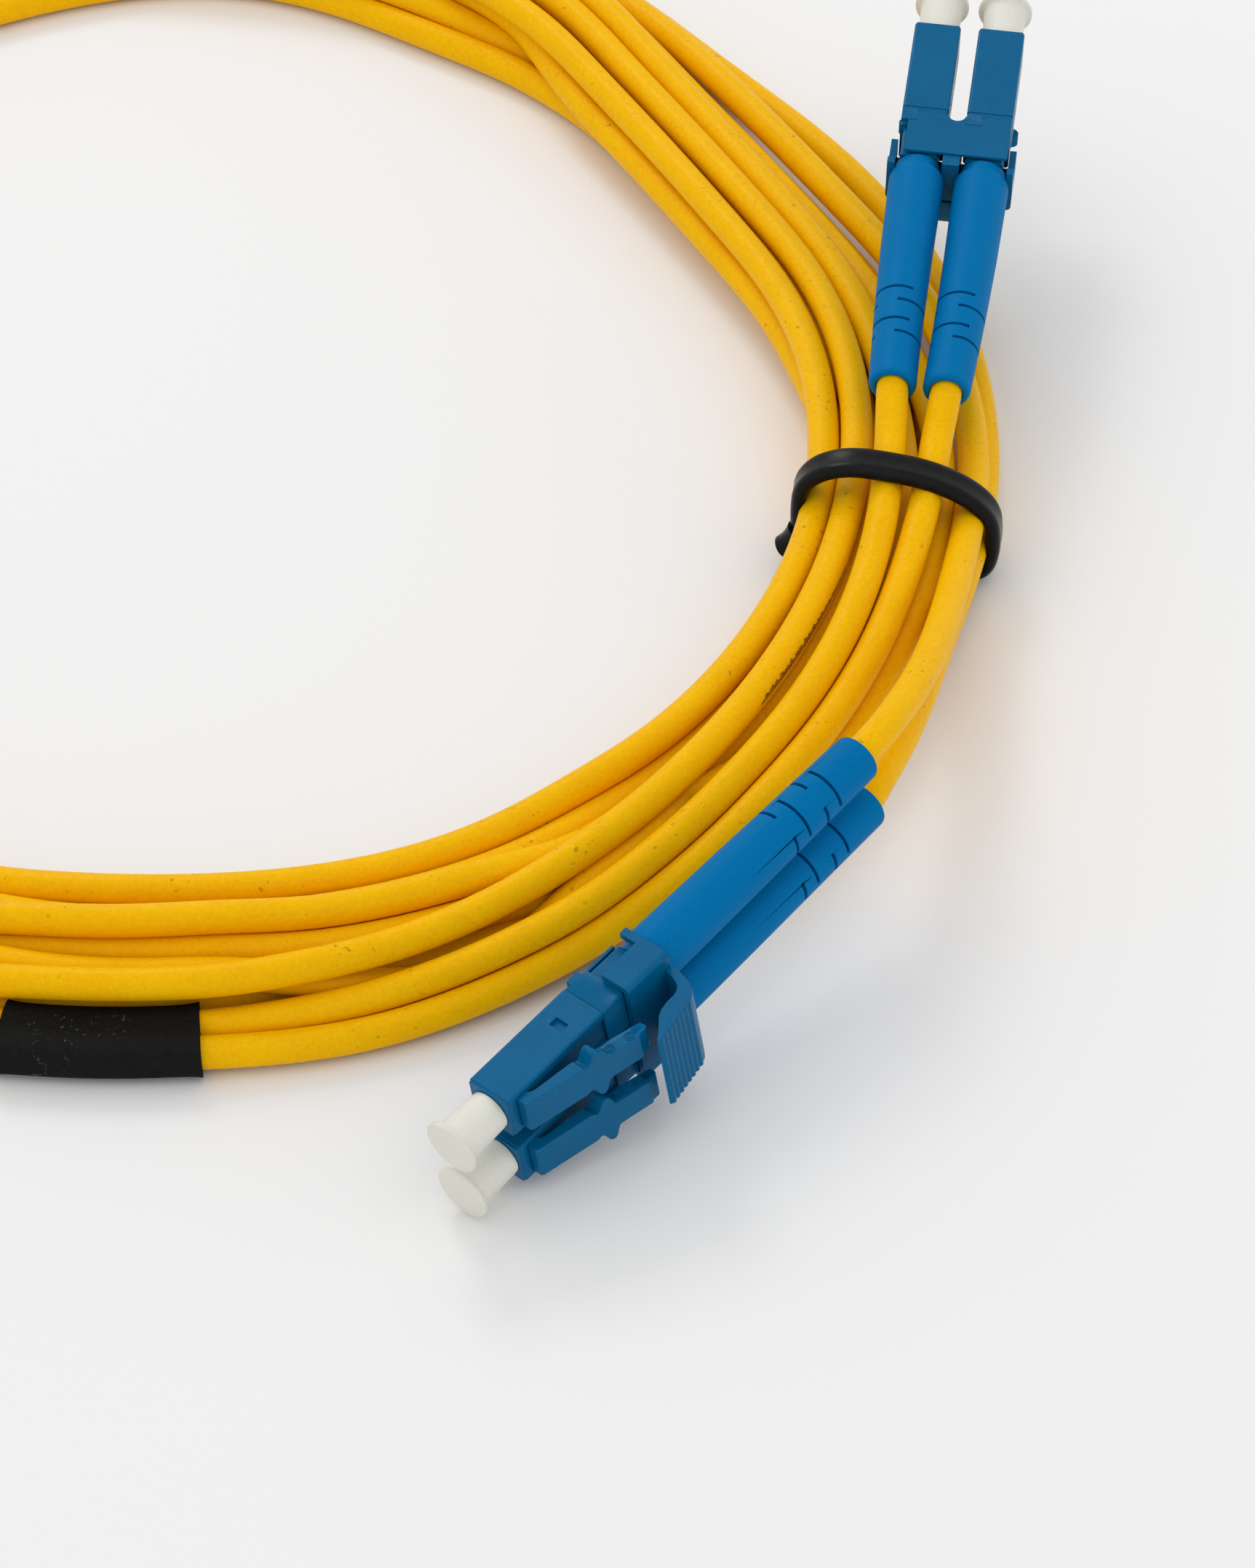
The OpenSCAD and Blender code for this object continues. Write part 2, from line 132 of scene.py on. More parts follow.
def only(obj):
    """Selects one object and makes it active"""
    bpy.ops.object.select_all(action="DESELECT")
    obj.select_set(True)
    bpy.context.view_layer.objects.active = obj
    return obj


def edit(select="SELECT"):
    """Opens the active mesh with all or nothing selected"""
    bpy.ops.object.mode_set(mode="EDIT")
    bpy.ops.mesh.select_all(action=select)


def leave_edit():
    """Goes back to object mode"""
    bpy.ops.object.mode_set(mode="OBJECT")


def pick(obj, faces=None, edges=None):
    """Selects faces or edges of the mesh in edit mode by a test of each one"""
    mesh = bmesh.from_edit_mesh(obj.data)
    bpy.ops.mesh.select_all(action="DESELECT")
    for f in mesh.faces:
        if faces and faces(f):
            f.select_set(True)
    for e in mesh.edges:
        if edges and edges(e):
            e.select_set(True)
    bmesh.update_edit_mesh(obj.data)


def place_in_mesh(obj):
    """Puts the object's place into its mesh"""
    only(obj)
    bpy.ops.object.transform_apply(location=True, rotation=True, scale=True)
    return obj


def box(name, low, high):
    """A box between two corners, ready to be shaped"""
    low, high = Vector(low), Vector(high)
    bpy.ops.object.select_all(action="DESELECT")
    bpy.ops.mesh.primitive_cube_add(size=1, location=(low + high) / 2, scale=high - low)
    obj = bpy.context.object
    obj.name = name
    return place_in_mesh(obj)


def rod(name, radius, start, end, vertices=48):
    """A round bar between two points"""
    start, end = Vector(start), Vector(end)
    way = end - start
    bpy.ops.object.select_all(action="DESELECT")
    bpy.ops.mesh.primitive_cylinder_add(
        vertices=vertices,
        radius=radius,
        depth=way.length,
        location=(start + end) / 2,
        rotation=way.to_track_quat("Z", "X").to_euler(),
    )
    obj = bpy.context.object
    obj.name = name
    return place_in_mesh(obj)


def trace(name, points):
    """A chain of edges through points, begun from one vertex and extruded on; left in edit mode, all selected"""
    points = [Vector(p) for p in points]
    bpy.ops.object.select_all(action="DESELECT")
    bpy.ops.mesh.primitive_plane_add(size=1, location=points[0])
    obj = bpy.context.object
    obj.name = name
    place_in_mesh(obj)
    edit()
    bpy.ops.mesh.merge(type="CENTER")
    for a, b in zip(points, points[1:]):
        bpy.ops.mesh.extrude_region_move(TRANSFORM_OT_translate={"value": b - a})
    bpy.ops.mesh.select_all(action="SELECT")
    return obj


def closed_up(obj):
    """Merges doubles and turns all faces outwards, in edit mode, and leaves it"""
    bpy.ops.mesh.select_all(action="SELECT")
    bpy.ops.mesh.remove_doubles(threshold=0.0005)
    bpy.ops.mesh.normals_make_consistent(inside=False)
    leave_edit()
    return obj


def slab(name, outline, way):
    """A solid with a traced outline, extruded along one way"""
    obj = trace(name, outline)
    bpy.ops.mesh.edge_face_add()
    bpy.ops.mesh.select_all(action="SELECT")
    bpy.ops.mesh.extrude_region_move(TRANSFORM_OT_translate={"value": Vector(way)})
    return closed_up(obj)


def side_slab(name, outline, half):
    """A solid with an outline in X and Z, centred on Y"""
    return slab(name, [(x, -half, z) for x, z in outline], (0, 2 * half, 0))


def turned(name, outline, steps=64):
    """A solid of revolution about the plug's axis, from a list of (x, radius)"""
    obj = trace(name, [(x, 0, r) for x, r in outline])
    bpy.ops.mesh.spin(steps=steps, angle=math.tau, center=(0, 0, 0), axis=(1, 0, 0))
    return closed_up(obj)


def combine(obj, tools, operation="DIFFERENCE"):
    """Cuts tools out of obj, or adds them to it"""
    for tool in tools:
        cut = obj.modifiers.new("shape", "BOOLEAN")
        cut.operation = operation
        cut.object = tool
        cut.solver = "EXACT"
        only(obj)
        bpy.ops.object.modifier_apply(modifier=cut.name)
        bpy.data.objects.remove(tool, do_unlink=True)
    return obj


def soften(obj, width, segments=2, sharp=32.0):
    """Rounds the sharp edges and shades the rest smooth"""
    only(obj)
    edge = obj.modifiers.new("edge", "BEVEL")
    edge.width = width
    edge.segments = segments
    edge.limit_method = "ANGLE"
    edge.angle_limit = math.radians(sharp)
    edge.use_clamp_overlap = True
    edge.miter_outer = "MITER_ARC"
    bpy.ops.object.modifier_apply(modifier=edge.name)
    bpy.ops.object.shade_smooth_by_angle(angle=math.radians(40))
    even = obj.modifiers.new("even", "WEIGHTED_NORMAL")
    even.keep_sharp = True
    even.weight = 100
    bpy.ops.object.modifier_apply(modifier=even.name)
    return obj


def plug_frame(plug):
    """From a plug's own millimetres to the cord's metres"""
    x = Vector(JOINTS[f"cap_{plug}_pull"]["axis"])
    y = Vector(JOINTS[f"trigger_{plug[0]}_press"]["axis"])
    turn = Matrix((x, y, x.cross(y))).transposed()
    at = Vector(JOINTS[f"latch_{plug}_flex"]["pos_m"]) - turn @ Vector(LATCH_HINGE) * MM
    return Matrix.Translation(at) @ turn.to_4x4() @ Matrix.Scale(MM, 4)


def boot_bend(plug, x):
    """How far a boot's axis has bent sideways at x: the two at B are drawn together by the tie"""
    way = {"b1": 1.0, "b2": -1.0}.get(plug, 0.0)
    return way * BOOT_BEND * max(0.0, (BOOT_FRONT - x) / (BOOT_FRONT - BOOT_END)) ** 2


def give_out(model, stem, places, finish, bodies, nodes, bent=False):
    """Copies a model to each place, each copy with its own mesh, and lets it ride and stand for its CAD nodes"""
    made = []
    for key in places:
        mesh = model.data.copy()
        if bent:
            for v in mesh.vertices:
                v.co.y += boot_bend(key, v.co.x)
        mesh.transform(plug_frame(key if len(key) == 2 else key + "1"))
        mesh.update()
        obj = bpy.data.objects.new(f"{stem}_{key}", mesh)
        bpy.context.scene.collection.objects.link(obj)
        mesh.materials.clear()
        mesh.materials.append(bpy.data.materials[finish])
        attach(obj, bodies.format(key))
        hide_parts(nodes.format(key))
        made.append(obj)
    bpy.data.objects.remove(model, do_unlink=True)
    return made


def loft(name, rings, closed):
    """A tube through rings of points, capped or run into itself"""
    n, m = len(rings[0]), len(rings)
    points = [p for ring in rings for p in ring]
    faces = []
    for i in range(m if closed else m - 1):
        a, b = i * n, (i + 1) % m * n
        for k in range(n):
            faces.append((a + k, a + (k + 1) % n, b + (k + 1) % n, b + k))
    if not closed:
        faces.append(tuple(range(n - 1, -1, -1)))
        faces.append(tuple((m - 1) * n + k for k in range(n)))
    mesh = bpy.data.meshes.new(name)
    mesh.from_pydata(points, [], faces)
    obj = bpy.data.objects.new(name, mesh)
    bpy.context.scene.collection.objects.link(obj)
    only(obj)
    edit()
    bpy.ops.mesh.normals_make_consistent(inside=False)
    leave_edit()
    bpy.ops.object.shade_smooth_by_angle(angle=math.radians(50))
    return obj


# ---------------------------------------------------------------- finishes


def socket(group, name, kind, into, value=None):
    """An input or output of a node group"""
    made = group.interface.new_socket(name, in_out=into, socket_type=kind)
    if value is not None:
        made.default_value = value
    return made


def add_node(nodes, kind, operation=None, **values):
    """A shader node with its input values set"""
    made = nodes.new("ShaderNode" + kind)
    if operation:
        made.operation = operation
    for key, value in values.items():
        made.inputs[key.replace("_", " ")].default_value = value
    return made


def grain_group():
    """Fine moulded grain: a height for bump and a faint shade"""
    group = bpy.data.node_groups.new("fine_grain", "ShaderNodeTree")
    socket(group, "Scale", "NodeSocketFloat", "INPUT", 6000.0)
    socket(group, "Height", "NodeSocketFloat", "OUTPUT")
    socket(group, "Shade", "NodeSocketFloat", "OUTPUT")
    nodes, link = group.nodes, group.links.new
    given, out = nodes.new("NodeGroupInput"), nodes.new("NodeGroupOutput")
    place = nodes.new("ShaderNodeTexCoord")
    fine = add_node(nodes, "TexNoise", Detail=3.0, Roughness=0.6)
    broad = add_node(nodes, "TexNoise", Scale=260.0, Detail=2.0)
    both = add_node(nodes, "Math", "MULTIPLY_ADD")
    both.inputs[1].default_value = 0.35
    link(place.outputs["Object"], fine.inputs["Vector"])
    link(place.outputs["Object"], broad.inputs["Vector"])
    link(given.outputs["Scale"], fine.inputs["Scale"])
    link(broad.outputs["Fac"], both.inputs[0])
    link(fine.outputs["Fac"], both.inputs[2])
    link(fine.outputs["Fac"], out.inputs["Height"])
    link(both.outputs[0], out.inputs["Shade"])
    return group


def specks_group():
    """Dust and scuffs: a mask of few small marks"""
    group = bpy.data.node_groups.new("dust_specks", "ShaderNodeTree")
    socket(group, "Scale", "NodeSocketFloat", "INPUT", 900.0)
    socket(group, "Amount", "NodeSocketFloat", "INPUT", 0.3)
    socket(group, "Mask", "NodeSocketFloat", "OUTPUT")
    nodes, link = group.nodes, group.links.new
    given, out = nodes.new("NodeGroupInput"), nodes.new("NodeGroupOutput")
    place = nodes.new("ShaderNodeTexCoord")
    marks = add_node(nodes, "TexNoise", Detail=1.5, Roughness=0.7)
    where = add_node(nodes, "TexNoise", Scale=110.0, Detail=1.0)
    sharp = add_node(nodes, "MapRange", From_Min=0.66, From_Max=0.71)
    patch = add_node(nodes, "MapRange", From_Min=0.5, From_Max=0.62)
    here = add_node(nodes, "Math", "MULTIPLY")
    much = add_node(nodes, "Math", "MULTIPLY")
    for texture in (marks, where):
        link(place.outputs["Object"], texture.inputs["Vector"])
    link(given.outputs["Scale"], marks.inputs["Scale"])
    link(marks.outputs["Fac"], sharp.inputs["Value"])
    link(where.outputs["Fac"], patch.inputs["Value"])
    link(sharp.outputs["Result"], here.inputs[0])
    link(patch.outputs["Result"], here.inputs[1])
    link(here.outputs[0], much.inputs[0])
    link(given.outputs["Amount"], much.inputs[1])
    link(much.outputs[0], out.inputs["Mask"])
    return group


def finish(name, base, second, rough, grain, bump, specks, speck_colour, **shader):
    """A material: grain mixes two colours and gives bump and roughness, and specks lie on top"""
    material = bpy.data.materials.new(name)
    material.use_nodes = True
    nodes, link = material.node_tree.nodes, material.node_tree.links.new
    skin = nodes["Principled BSDF"]
    for key, value in shader.items():
        skin.inputs[key.replace("_", " ")].default_value = value
    fine = nodes.new("ShaderNodeGroup")
    fine.node_tree = bpy.data.node_groups["fine_grain"]
    fine.inputs["Scale"].default_value = grain
    dust = nodes.new("ShaderNodeGroup")
    dust.node_tree = bpy.data.node_groups["dust_specks"]
    dust.inputs["Scale"].default_value = specks[0]
    dust.inputs["Amount"].default_value = specks[1]
    spread = add_node(nodes, "MapRange", From_Min=0.45, From_Max=0.9)
    body = nodes.new("ShaderNodeMix")
    body.data_type = "RGBA"
    body.inputs["A"].default_value = (*base, 1)
    body.inputs["B"].default_value = (*second, 1)
    top = nodes.new("ShaderNodeMix")
    top.data_type = "RGBA"
    top.inputs["B"].default_value = (*speck_colour, 1)
    gloss = add_node(nodes, "MapRange", To_Min=rough[0], To_Max=rough[1])
    relief = add_node(nodes, "Bump", Strength=bump[0], Distance=bump[1])
    link(fine.outputs["Shade"], spread.inputs["Value"])
    link(spread.outputs["Result"], body.inputs["Factor"])
    link(body.outputs["Result"], top.inputs["A"])
    link(dust.outputs["Mask"], top.inputs["Factor"])
    link(top.outputs["Result"], skin.inputs["Base Color"])
    link(fine.outputs["Height"], gloss.inputs["Value"])
    link(gloss.outputs["Result"], skin.inputs["Roughness"])
    link(fine.outputs["Height"], relief.inputs["Height"])
    link(relief.outputs["Normal"], skin.inputs["Normal"])
    return material


def mixed(a, b, share):
    """A colour part of the way from one to another"""
    return tuple(x + (y - x) * share for x, y in zip(a, b))


class PATCHCORD_OT_finishes(Operator):
    """Makes the materials and the effects that they share"""

    bl_idname = "patchcord.finishes"
    bl_label = "Finishes"

    def execute(self, context):
        c = context.scene.patch_cord_colours
        grain_group()
        specks_group()
        white, dark = (0.8, 0.8, 0.8), (0.05, 0.035, 0.01)
        finish("jacket_yellow", c.jacket, c.jacket_deep, (0.3, 0.42), 2600, (0.02, 0.00002), (1500, 0.4), dark,
               Specular_IOR_Level=0.05, Coat_Weight=0.0)
        finish("housing_blue", c.housing, mixed(c.housing, (0, 0, 0), 0.25), (0.2, 0.38), 5200, (0.16, 0.00003),
               (5200, 0.35), (0.1, 0.36, 0.5), Specular_IOR_Level=0.1)
        finish("boot_blue", c.boot, mixed(c.boot, (0, 0, 0), 0.12), (0.4, 0.52), 4200, (0.08, 0.00003),
               (3600, 0.1), (0.05, 0.3, 0.5), Specular_IOR_Level=0.03)
        finish("cap_white", c.cap, mixed(c.cap, (0.6, 0.6, 0.5), 0.3), (0.42, 0.55), 3500, (0.1, 0.00004),
               (2000, 0.12), (0.4, 0.38, 0.3), Specular_IOR_Level=0.25)
        finish("tie_black", c.tie, mixed(c.tie, white, 0.004), (0.24, 0.34), 2400, (0.06, 0.00003),
               (3000, 0.15), (0.08, 0.08, 0.08), Specular_IOR_Level=0.12)
        finish("sleeve_black", c.sleeve, mixed(c.sleeve, white, 0.006), (0.6, 0.75), 2200, (0.25, 0.00006),
               (2200, 0.6), (0.16, 0.16, 0.14), Specular_IOR_Level=0.06)
        # the torn web ridge's dark brown is painted shade of the valley between the strands
        finish("web_brown", (0.34, 0.14, 0.01), (0.16, 0.06, 0.004), (0.5, 0.7), 3000, (0.3, 0.00006),
               (2600, 0.4), (0.01, 0.005, 0.0), Specular_IOR_Level=0.1)
        finish("ceramic_white", (0.85, 0.85, 0.84), (0.8, 0.8, 0.8), (0.1, 0.18), 5000, (0.02, 0.00001),
               (3000, 0.02), dark)
        finish("metal", (0.62, 0.62, 0.6), (0.5, 0.5, 0.5), (0.2, 0.4), 5000, (0.05, 0.00002),
               (3000, 0.1), dark, Metallic=1.0)
        finish("fibre_buffer", (0.75, 0.75, 0.72), (0.7, 0.7, 0.66), (0.4, 0.5), 5000, (0.02, 0.00001),
               (3000, 0.02), dark)
        return {"FINISHED"}


# ---------------------------------------------------------------- plug pieces


class PATCHCORD_OT_dust_caps(Operator):
    """Turns the dust cap and gives one to each plug"""

    bl_idname = "patchcord.dust_caps"
    bl_label = "Dust caps"

    def execute(self, context):
        rim = context.scene.patch_cord_sizes.cap_flange / MM / 2
        model = turned("cap_model", [
            (-1.2, 0), (-1.2, 1.38), (-1.1, 1.5), (0.06, 1.5), (0.06, 1.88), (0.5, 1.93), (4.2, 2.06), (4.45, 2.14),
            (4.6, 2.32), (4.63, rim - 0.12), (4.72, rim - 0.02), (4.84, rim), (4.87, rim - 0.03), (4.9, rim),
            (5.02, rim - 0.01), (5.14, rim - 0.1), (5.2, rim - 0.25), (5.24, rim - 1.2), (5.25, 0),
        ])
        bore = rod("bore", 0.655, (-2, 0, 0), (2.6, 0, 0))
        combine(model, [bore])
        only(model)
        bpy.ops.object.shade_smooth_by_angle(angle=math.radians(40))
        give_out(model, "cap", PLUGS, "cap_white", "cap_{}", "dust_cap_{}")
        return {"FINISHED"}


class PATCHCORD_OT_housings(Operator):
    """Shapes the square front housing with its mouth, windows and latch channel"""

    bl_idname = "patchcord.housings"
    bl_label = "Front housings"

    def execute(self, context):
        half = 2.25
        model = box("housing_model", (-HOUSING_LEN, -half, -half), (-0.25, half, half))
        edit("DESELECT")
        pick(model, edges=lambda e: abs(e.verts[0].co.x - e.verts[1].co.x) > 1)
        bpy.ops.mesh.bevel(offset=0.26, segments=3, affect="EDGES")
        pick(model, faces=lambda f: f.normal.x > 0.9)
        bpy.ops.mesh.inset(thickness=0.1)
        bpy.ops.mesh.extrude_region_move(TRANSFORM_OT_translate={"value": (0.25, 0, 0)})
        leave_edit()
        tools = [
            rod("mouth", 1.6, (-5, 0, 0), (1, 0, 0)),
            rod("web_hole", 0.75, (-6, 0, 0), (-4, 0, 0)),
            rod("cavity", 1.7, (-13, 0, 0), (-5.8, 0, 0)),
            side_slab("channel", [(-2.6, 2.35), (-6.5, 1.95), (-13, 1.95), (-13, 3.3), (-2.6, 3.3)], 1.45),
            box("knuckle_space", (-2.35, -1.76, 2.05), (-1.1, 1.76, 3)),
        ]
        for side in (-1, 1):
            near, far = sorted((side * half * 0.84, side * half * 1.2))
            tools.append(box("window", (-9.35, near, -0.63), (-8.45, far, 0.77)))
        combine(model, tools)
        soften(model, 0.09, 2)
        give_out(model, "housing", PLUGS, "housing_blue", ROOT, "housing_{}")
        return {"FINISHED"}


class PATCHCORD_OT_latches(Operator):
    """Shapes the springy latch arm with its ears, rings and stepped tip"""

    bl_idname = "patchcord.latches"
    bl_label = "Latches"

    def execute(self, context):
        model = side_slab("latch_model", [
            (-1.15, 2.12), (-1.15, 3.1), (-1.32, 3.3), (-3.0, 3.68), (-5.2, 4.2), (-6.7, 4.56), (-8.2, 4.98),
            (-9.05, 5.16), (-11.0, 5.6), (-12.4, 5.93), (-12.58, 5.76), (-13.35, 5.74), (-13.58, 5.55),
            (-13.5, 4.95), (-12.4, 4.6), (-10.6, 4.1), (-9.05, 3.8), (-7.5, 3.42), (-4.6, 3.0), (-3.1, 2.8),
            (-2.62, 2.66), (-2.36, 2.5), (-2.3, 2.12),
        ], 2.8)
        half = [
            (-1.1, 1.75), (-6.5, 1.75), (-6.85, 1.72), (-7.1, 1.5), (-7.3, 1.5), (-7.6, 1.95), (-7.85, 2.5),
            (-8.1, 2.72), (-8.35, 2.72), (-8.6, 2.5), (-8.8, 1.95), (-9.0, 1.5), (-9.4, 1.4), (-13.7, 1.4),
        ]
        plan = [(-1.1, 0)] + half + [(-13.7, 0)]
        keeps = []
        for side in (1, -1):
            keeps.append(slab("keep", [(x, side * y, 1.5) for x, y in plan], (0, 0, 5)))
        keep = combine(keeps[0], keeps[1:], "UNION")
        combine(model, [keep], "INTERSECT")
        soften(model, 0.1, 2)
        rings = []
        for x, z in ((-9.9, 4.75), (-11.9, 5.2)):
            for side in (-1, 1):
                for r in (0.2, 0.42):
                    bpy.ops.object.select_all(action="DESELECT")
                    bpy.ops.mesh.primitive_torus_add(
                        major_radius=r, minor_radius=0.065, major_segments=28, minor_segments=8,
                        location=(x, side * 1.41, z), rotation=(math.pi / 2, 0, 0),
                    )
                    rings.append(place_in_mesh(bpy.context.object))
        combine(model, rings, "UNION")
        only(model)
        bpy.ops.object.shade_smooth_by_angle(angle=math.radians(40))
        give_out(model, "latch", PLUGS, "housing_blue", "latch_{}_body", "latch_{}")
        return {"FINISHED"}


class PATCHCORD_OT_rear_bodies(Operator):
    """Shapes the rear body behind the housing's seam, with its side lug and ribbed neck"""

    bl_idname = "patchcord.rear_bodies"
    bl_label = "Rear bodies"

    def execute(self, context):
        model = box("rear_model", (CLIP_FRONT, -2.2, -2.2), (-HOUSING_LEN - 0.05, 2.2, 2.2))
        back = box("rear_back", (-18.4, -1.85, -1.85), (CLIP_FRONT + 0.1, 1.85, 1.85))
        for obj in (model, back):
            only(obj)
            edit("DESELECT")
            pick(obj, edges=lambda e: abs(e.verts[0].co.x - e.verts[1].co.x) > 1)
            bpy.ops.mesh.bevel(offset=0.26, segments=3, affect="EDGES")
            leave_edit()
        parts = [
            back,
            box("lug", (-14.1, -2.2, -2.55), (-12.7, -0.7, -1.95)),
            rod("cup", 1.66, (-13, 0, 0), (-9.4, 0, 0)),
            rod("neck", 1.3, (-22.2, 0, 0), (-17.4, 0, 0)),
        ]
        for k in range(4):
            x = -22.2 + 0.95 * k
            parts.append(rod("rib", 1.5, (x, 0, 0), (x + 0.55, 0, 0)))
        combine(model, parts, "UNION")
        combine(model, [rod("bore", 1.42, (-11.4, 0, 0), (0, 0, 0)), rod("through", 0.6, (-23, 0, 0), (-11, 0, 0))])
        soften(model, 0.08, 2)
        give_out(model, "rear_body", PLUGS, "housing_blue", ROOT, "rear_body_{}")
        return {"FINISHED"}


class PATCHCORD_OT_boots(Operator):
    """Turns the tapered boot and cuts its pairs of slits"""

    bl_idname = "patchcord.boots"
    bl_label = "Boots"

    def execute(self, context):
        sizes = context.scene.patch_cord_sizes
        front, tail = sizes.boot / MM / 2, sizes.boot_tail / MM / 2
        model = turned("boot_model", [
            (BOOT_END, 1.58), (BOOT_END, tail - 0.42), (BOOT_END + 0.06, tail - 0.26), (BOOT_END + 0.2, tail - 0.1),
            (BOOT_END + 0.5, tail), (-40, tail + 0.1), (-30, tail + 0.27), (BOOT_FRONT - 0.3, front),
            (BOOT_FRONT - 0.08, front - 0.05), (BOOT_FRONT, front - 0.18), (BOOT_FRONT, 2.2), (-18.5, 2.2),
            (-18.45, 2.1), (-18.45, 2.0), (-24.65, 2.0), (-24.65, 1.58), (BOOT_END, 1.58),
        ])
        slits = []
        for k, x in enumerate((-42.4, -40.7, -38.3, -36.6)):
            for side in (0, 180):
                middle = side + (90 if k % 2 else 0)
                start = math.radians(middle - 62)
                rim = [(x - 0.16, 1.85), (x + 0.16, 1.85), (x + 0.16, 3.4), (x - 0.16, 3.4)]
                obj = trace("slit", [(a, -r * math.sin(start), r * math.cos(start)) for a, r in rim])
                bpy.ops.mesh.edge_face_add()
                bpy.ops.mesh.select_all(action="SELECT")
                bpy.ops.mesh.spin(steps=20, angle=math.radians(124), center=(0, 0, 0), axis=(1, 0, 0))
                slits.append(closed_up(obj))
        combine(model, slits)
        soften(model, 0.05, 2, 50)
        give_out(model, "boot", PLUGS, "boot_blue", ROOT, "boot_{}", True)
        return {"FINISHED"}


class PATCHCORD_OT_clips(Operator):
    """Shapes the clip that holds two plugs side by side"""

    bl_idname = "patchcord.clips"
    bl_label = "Duplex clips"

    def execute(self, context):
        low, high = PITCH / 2 - 6.075, PITCH / 2 + 6.075
        wall, inner, top, web = -0.1, 2.3, 2.9, -2.3
        outline = [
            (low, wall), (low, top), (high, top), (high, wall), (PITCH + inner, wall), (PITCH + inner, inner),
            (PITCH - inner, inner), (PITCH - inner, web), (inner, web), (inner, inner), (-inner, inner),
            (-inner, wall),
        ]
        model = slab("clip_model", [(CLIP_BACK, y, z) for y, z in outline], (CLIP_FRONT - CLIP_BACK, 0, 0))
        edit("DESELECT")
        pick(model, edges=lambda e: all(v.co.z > top - 0.01 for v in e.verts)
             and abs(e.verts[0].co.x - e.verts[1].co.x) > 1)
        bpy.ops.mesh.bevel(offset=0.5, segments=5, affect="EDGES")
        leave_edit()
        straps = [
            box("strap", (CLIP_BACK, y, -1.9), (CLIP_BACK + 0.8, y + 0.65, wall + 0.1)) for y in (low, PITCH + inner)
        ]
        straps.append(box("back_plate", (-18.3, -1.5, -2.5), (-13.0, PITCH + 2.2, -2.22)))
        combine(model, straps, "UNION")
        cuts = [rod("seat", 2.67, (CLIP_BACK - 1, y, 0), (BOOT_FRONT + 0.05, y, 0)) for y in (0, PITCH)]
        cuts.append(box("knuckle_space", (-19.95, PITCH / 2 - 4.4, 2.45), (-19.0, PITCH / 2 + 4.4, 3.5)))
        cuts.append(rod("gap_round", 0.86, (-12.85, PITCH / 2, -9), (-12.85, PITCH / 2, 9)))
        combine(model, cuts)
        soften(model, 0.2, 3)
        give_out(model, "clip", ENDS, "housing_blue", ROOT, "clip_{}")
        return {"FINISHED"}


class PATCHCORD_OT_triggers(Operator):
    """Shapes the ridged trigger that presses both latches"""

    bl_idname = "patchcord.triggers"
    bl_label = "Triggers"

    def execute(self, context):
        count = context.scene.patch_cord_sizes.ridges
        start, end = Vector((-18.1, 6.62)), Vector((-13.15, 7.5))
        step = (end - start) / count
        up = Vector((-step.y, step.x)).normalized() * 0.13
        comb = []
        for k in range(count):
            a = start + step * k
            comb += [a + step * 0.12, a + step * 0.34 + up, a + step * 0.66 + up, a + step * 0.88]
        outline = [
            (-12.95, 7.3), (-13.5, 6.95), (-14.2, 6.4), (-15.0, 5.7), (-15.7, 5.36), (-16.6, 5.2), (-17.5, 5.2),
            (-18.0, 5.05), (-18.4, 4.75), (-18.66, 4.3), (-18.92, 3.6), (-19.02, 2.75), (-19.75, 2.75),
            (-19.78, 3.2), (-19.7, 3.9), (-19.52, 4.7), (-19.28, 5.4), (-18.95, 5.98), (-18.5, 6.42),
        ]
        outline += [tuple(p) for p in comb]
        model = side_slab("trigger_model", outline, 4.35)
        soften(model, 0.07, 2, 28)
        only(model)
        edit()
        bpy.ops.transform.translate(value=(0, PITCH / 2, 0))
        leave_edit()
        give_out(model, "trigger", ENDS, "housing_blue", "trigger_{}_body", "trigger_{}")
        return {"FINISHED"}


class PATCHCORD_OT_inner_parts(Operator):
    """Gives the CAD solids inside the plugs their finishes"""

    bl_idname = "patchcord.inner_parts"
    bl_label = "Inner parts"

    def execute(self, context):
        finishes = {"ferrule": "ceramic_white", "flange": "metal", "buffer": "fibre_buffer", "spring": "metal",
                    "crimp_ring": "metal"}
        for stem, finish_name in finishes.items():
            for plug in PLUGS:
                obj = frame["nodes"][f"{stem}_{plug}"]
                obj.data.materials.clear()
                obj.data.materials.append(bpy.data.materials[finish_name])
        return {"FINISHED"}


# ---------------------------------------------------------------- the wound cable


def ring_parts():
    """The arcs and the straight of the ring's middle line, from the round side's start"""
    turn = math.radians(STRAIGHT_TURN)
    out = Vector((math.cos(turn), math.sin(turn)))
    start = ROUND_R * out
    end = start + STRAIGHT_LEN * Vector((-out.y, out.x))
    top_at = end - TOP_R * out
    reach, spread = SIDE_R - ROUND_R, top_at.length
    lean = math.acos((reach**2 + spread**2 - (SIDE_R - TOP_R) ** 2) / (2 * reach * spread))
    side_turn = math.atan2(top_at.y, top_at.x) - lean
    side_at = reach * Vector((math.cos(side_turn), math.sin(side_turn)))
    top_end = math.atan2(top_at.y - side_at.y, top_at.x - side_at.x)
    return [
        (Vector((0, 0)), ROUND_R, side_turn - math.pi, turn),
        (start, 0.0, turn, STRAIGHT_LEN),
        (top_at, TOP_R, turn, top_end),
        (side_at, SIDE_R, top_end, side_turn + math.pi),
    ]


RING = ring_parts()
LENGTHS = [STRAIGHT_LEN if r == 0 else r * (b - a) for _, r, a, b in RING]
AROUND = sum(LENGTHS)
SEAM = ROUND_R * (math.radians(SEAM_TURN) - RING[0][2])


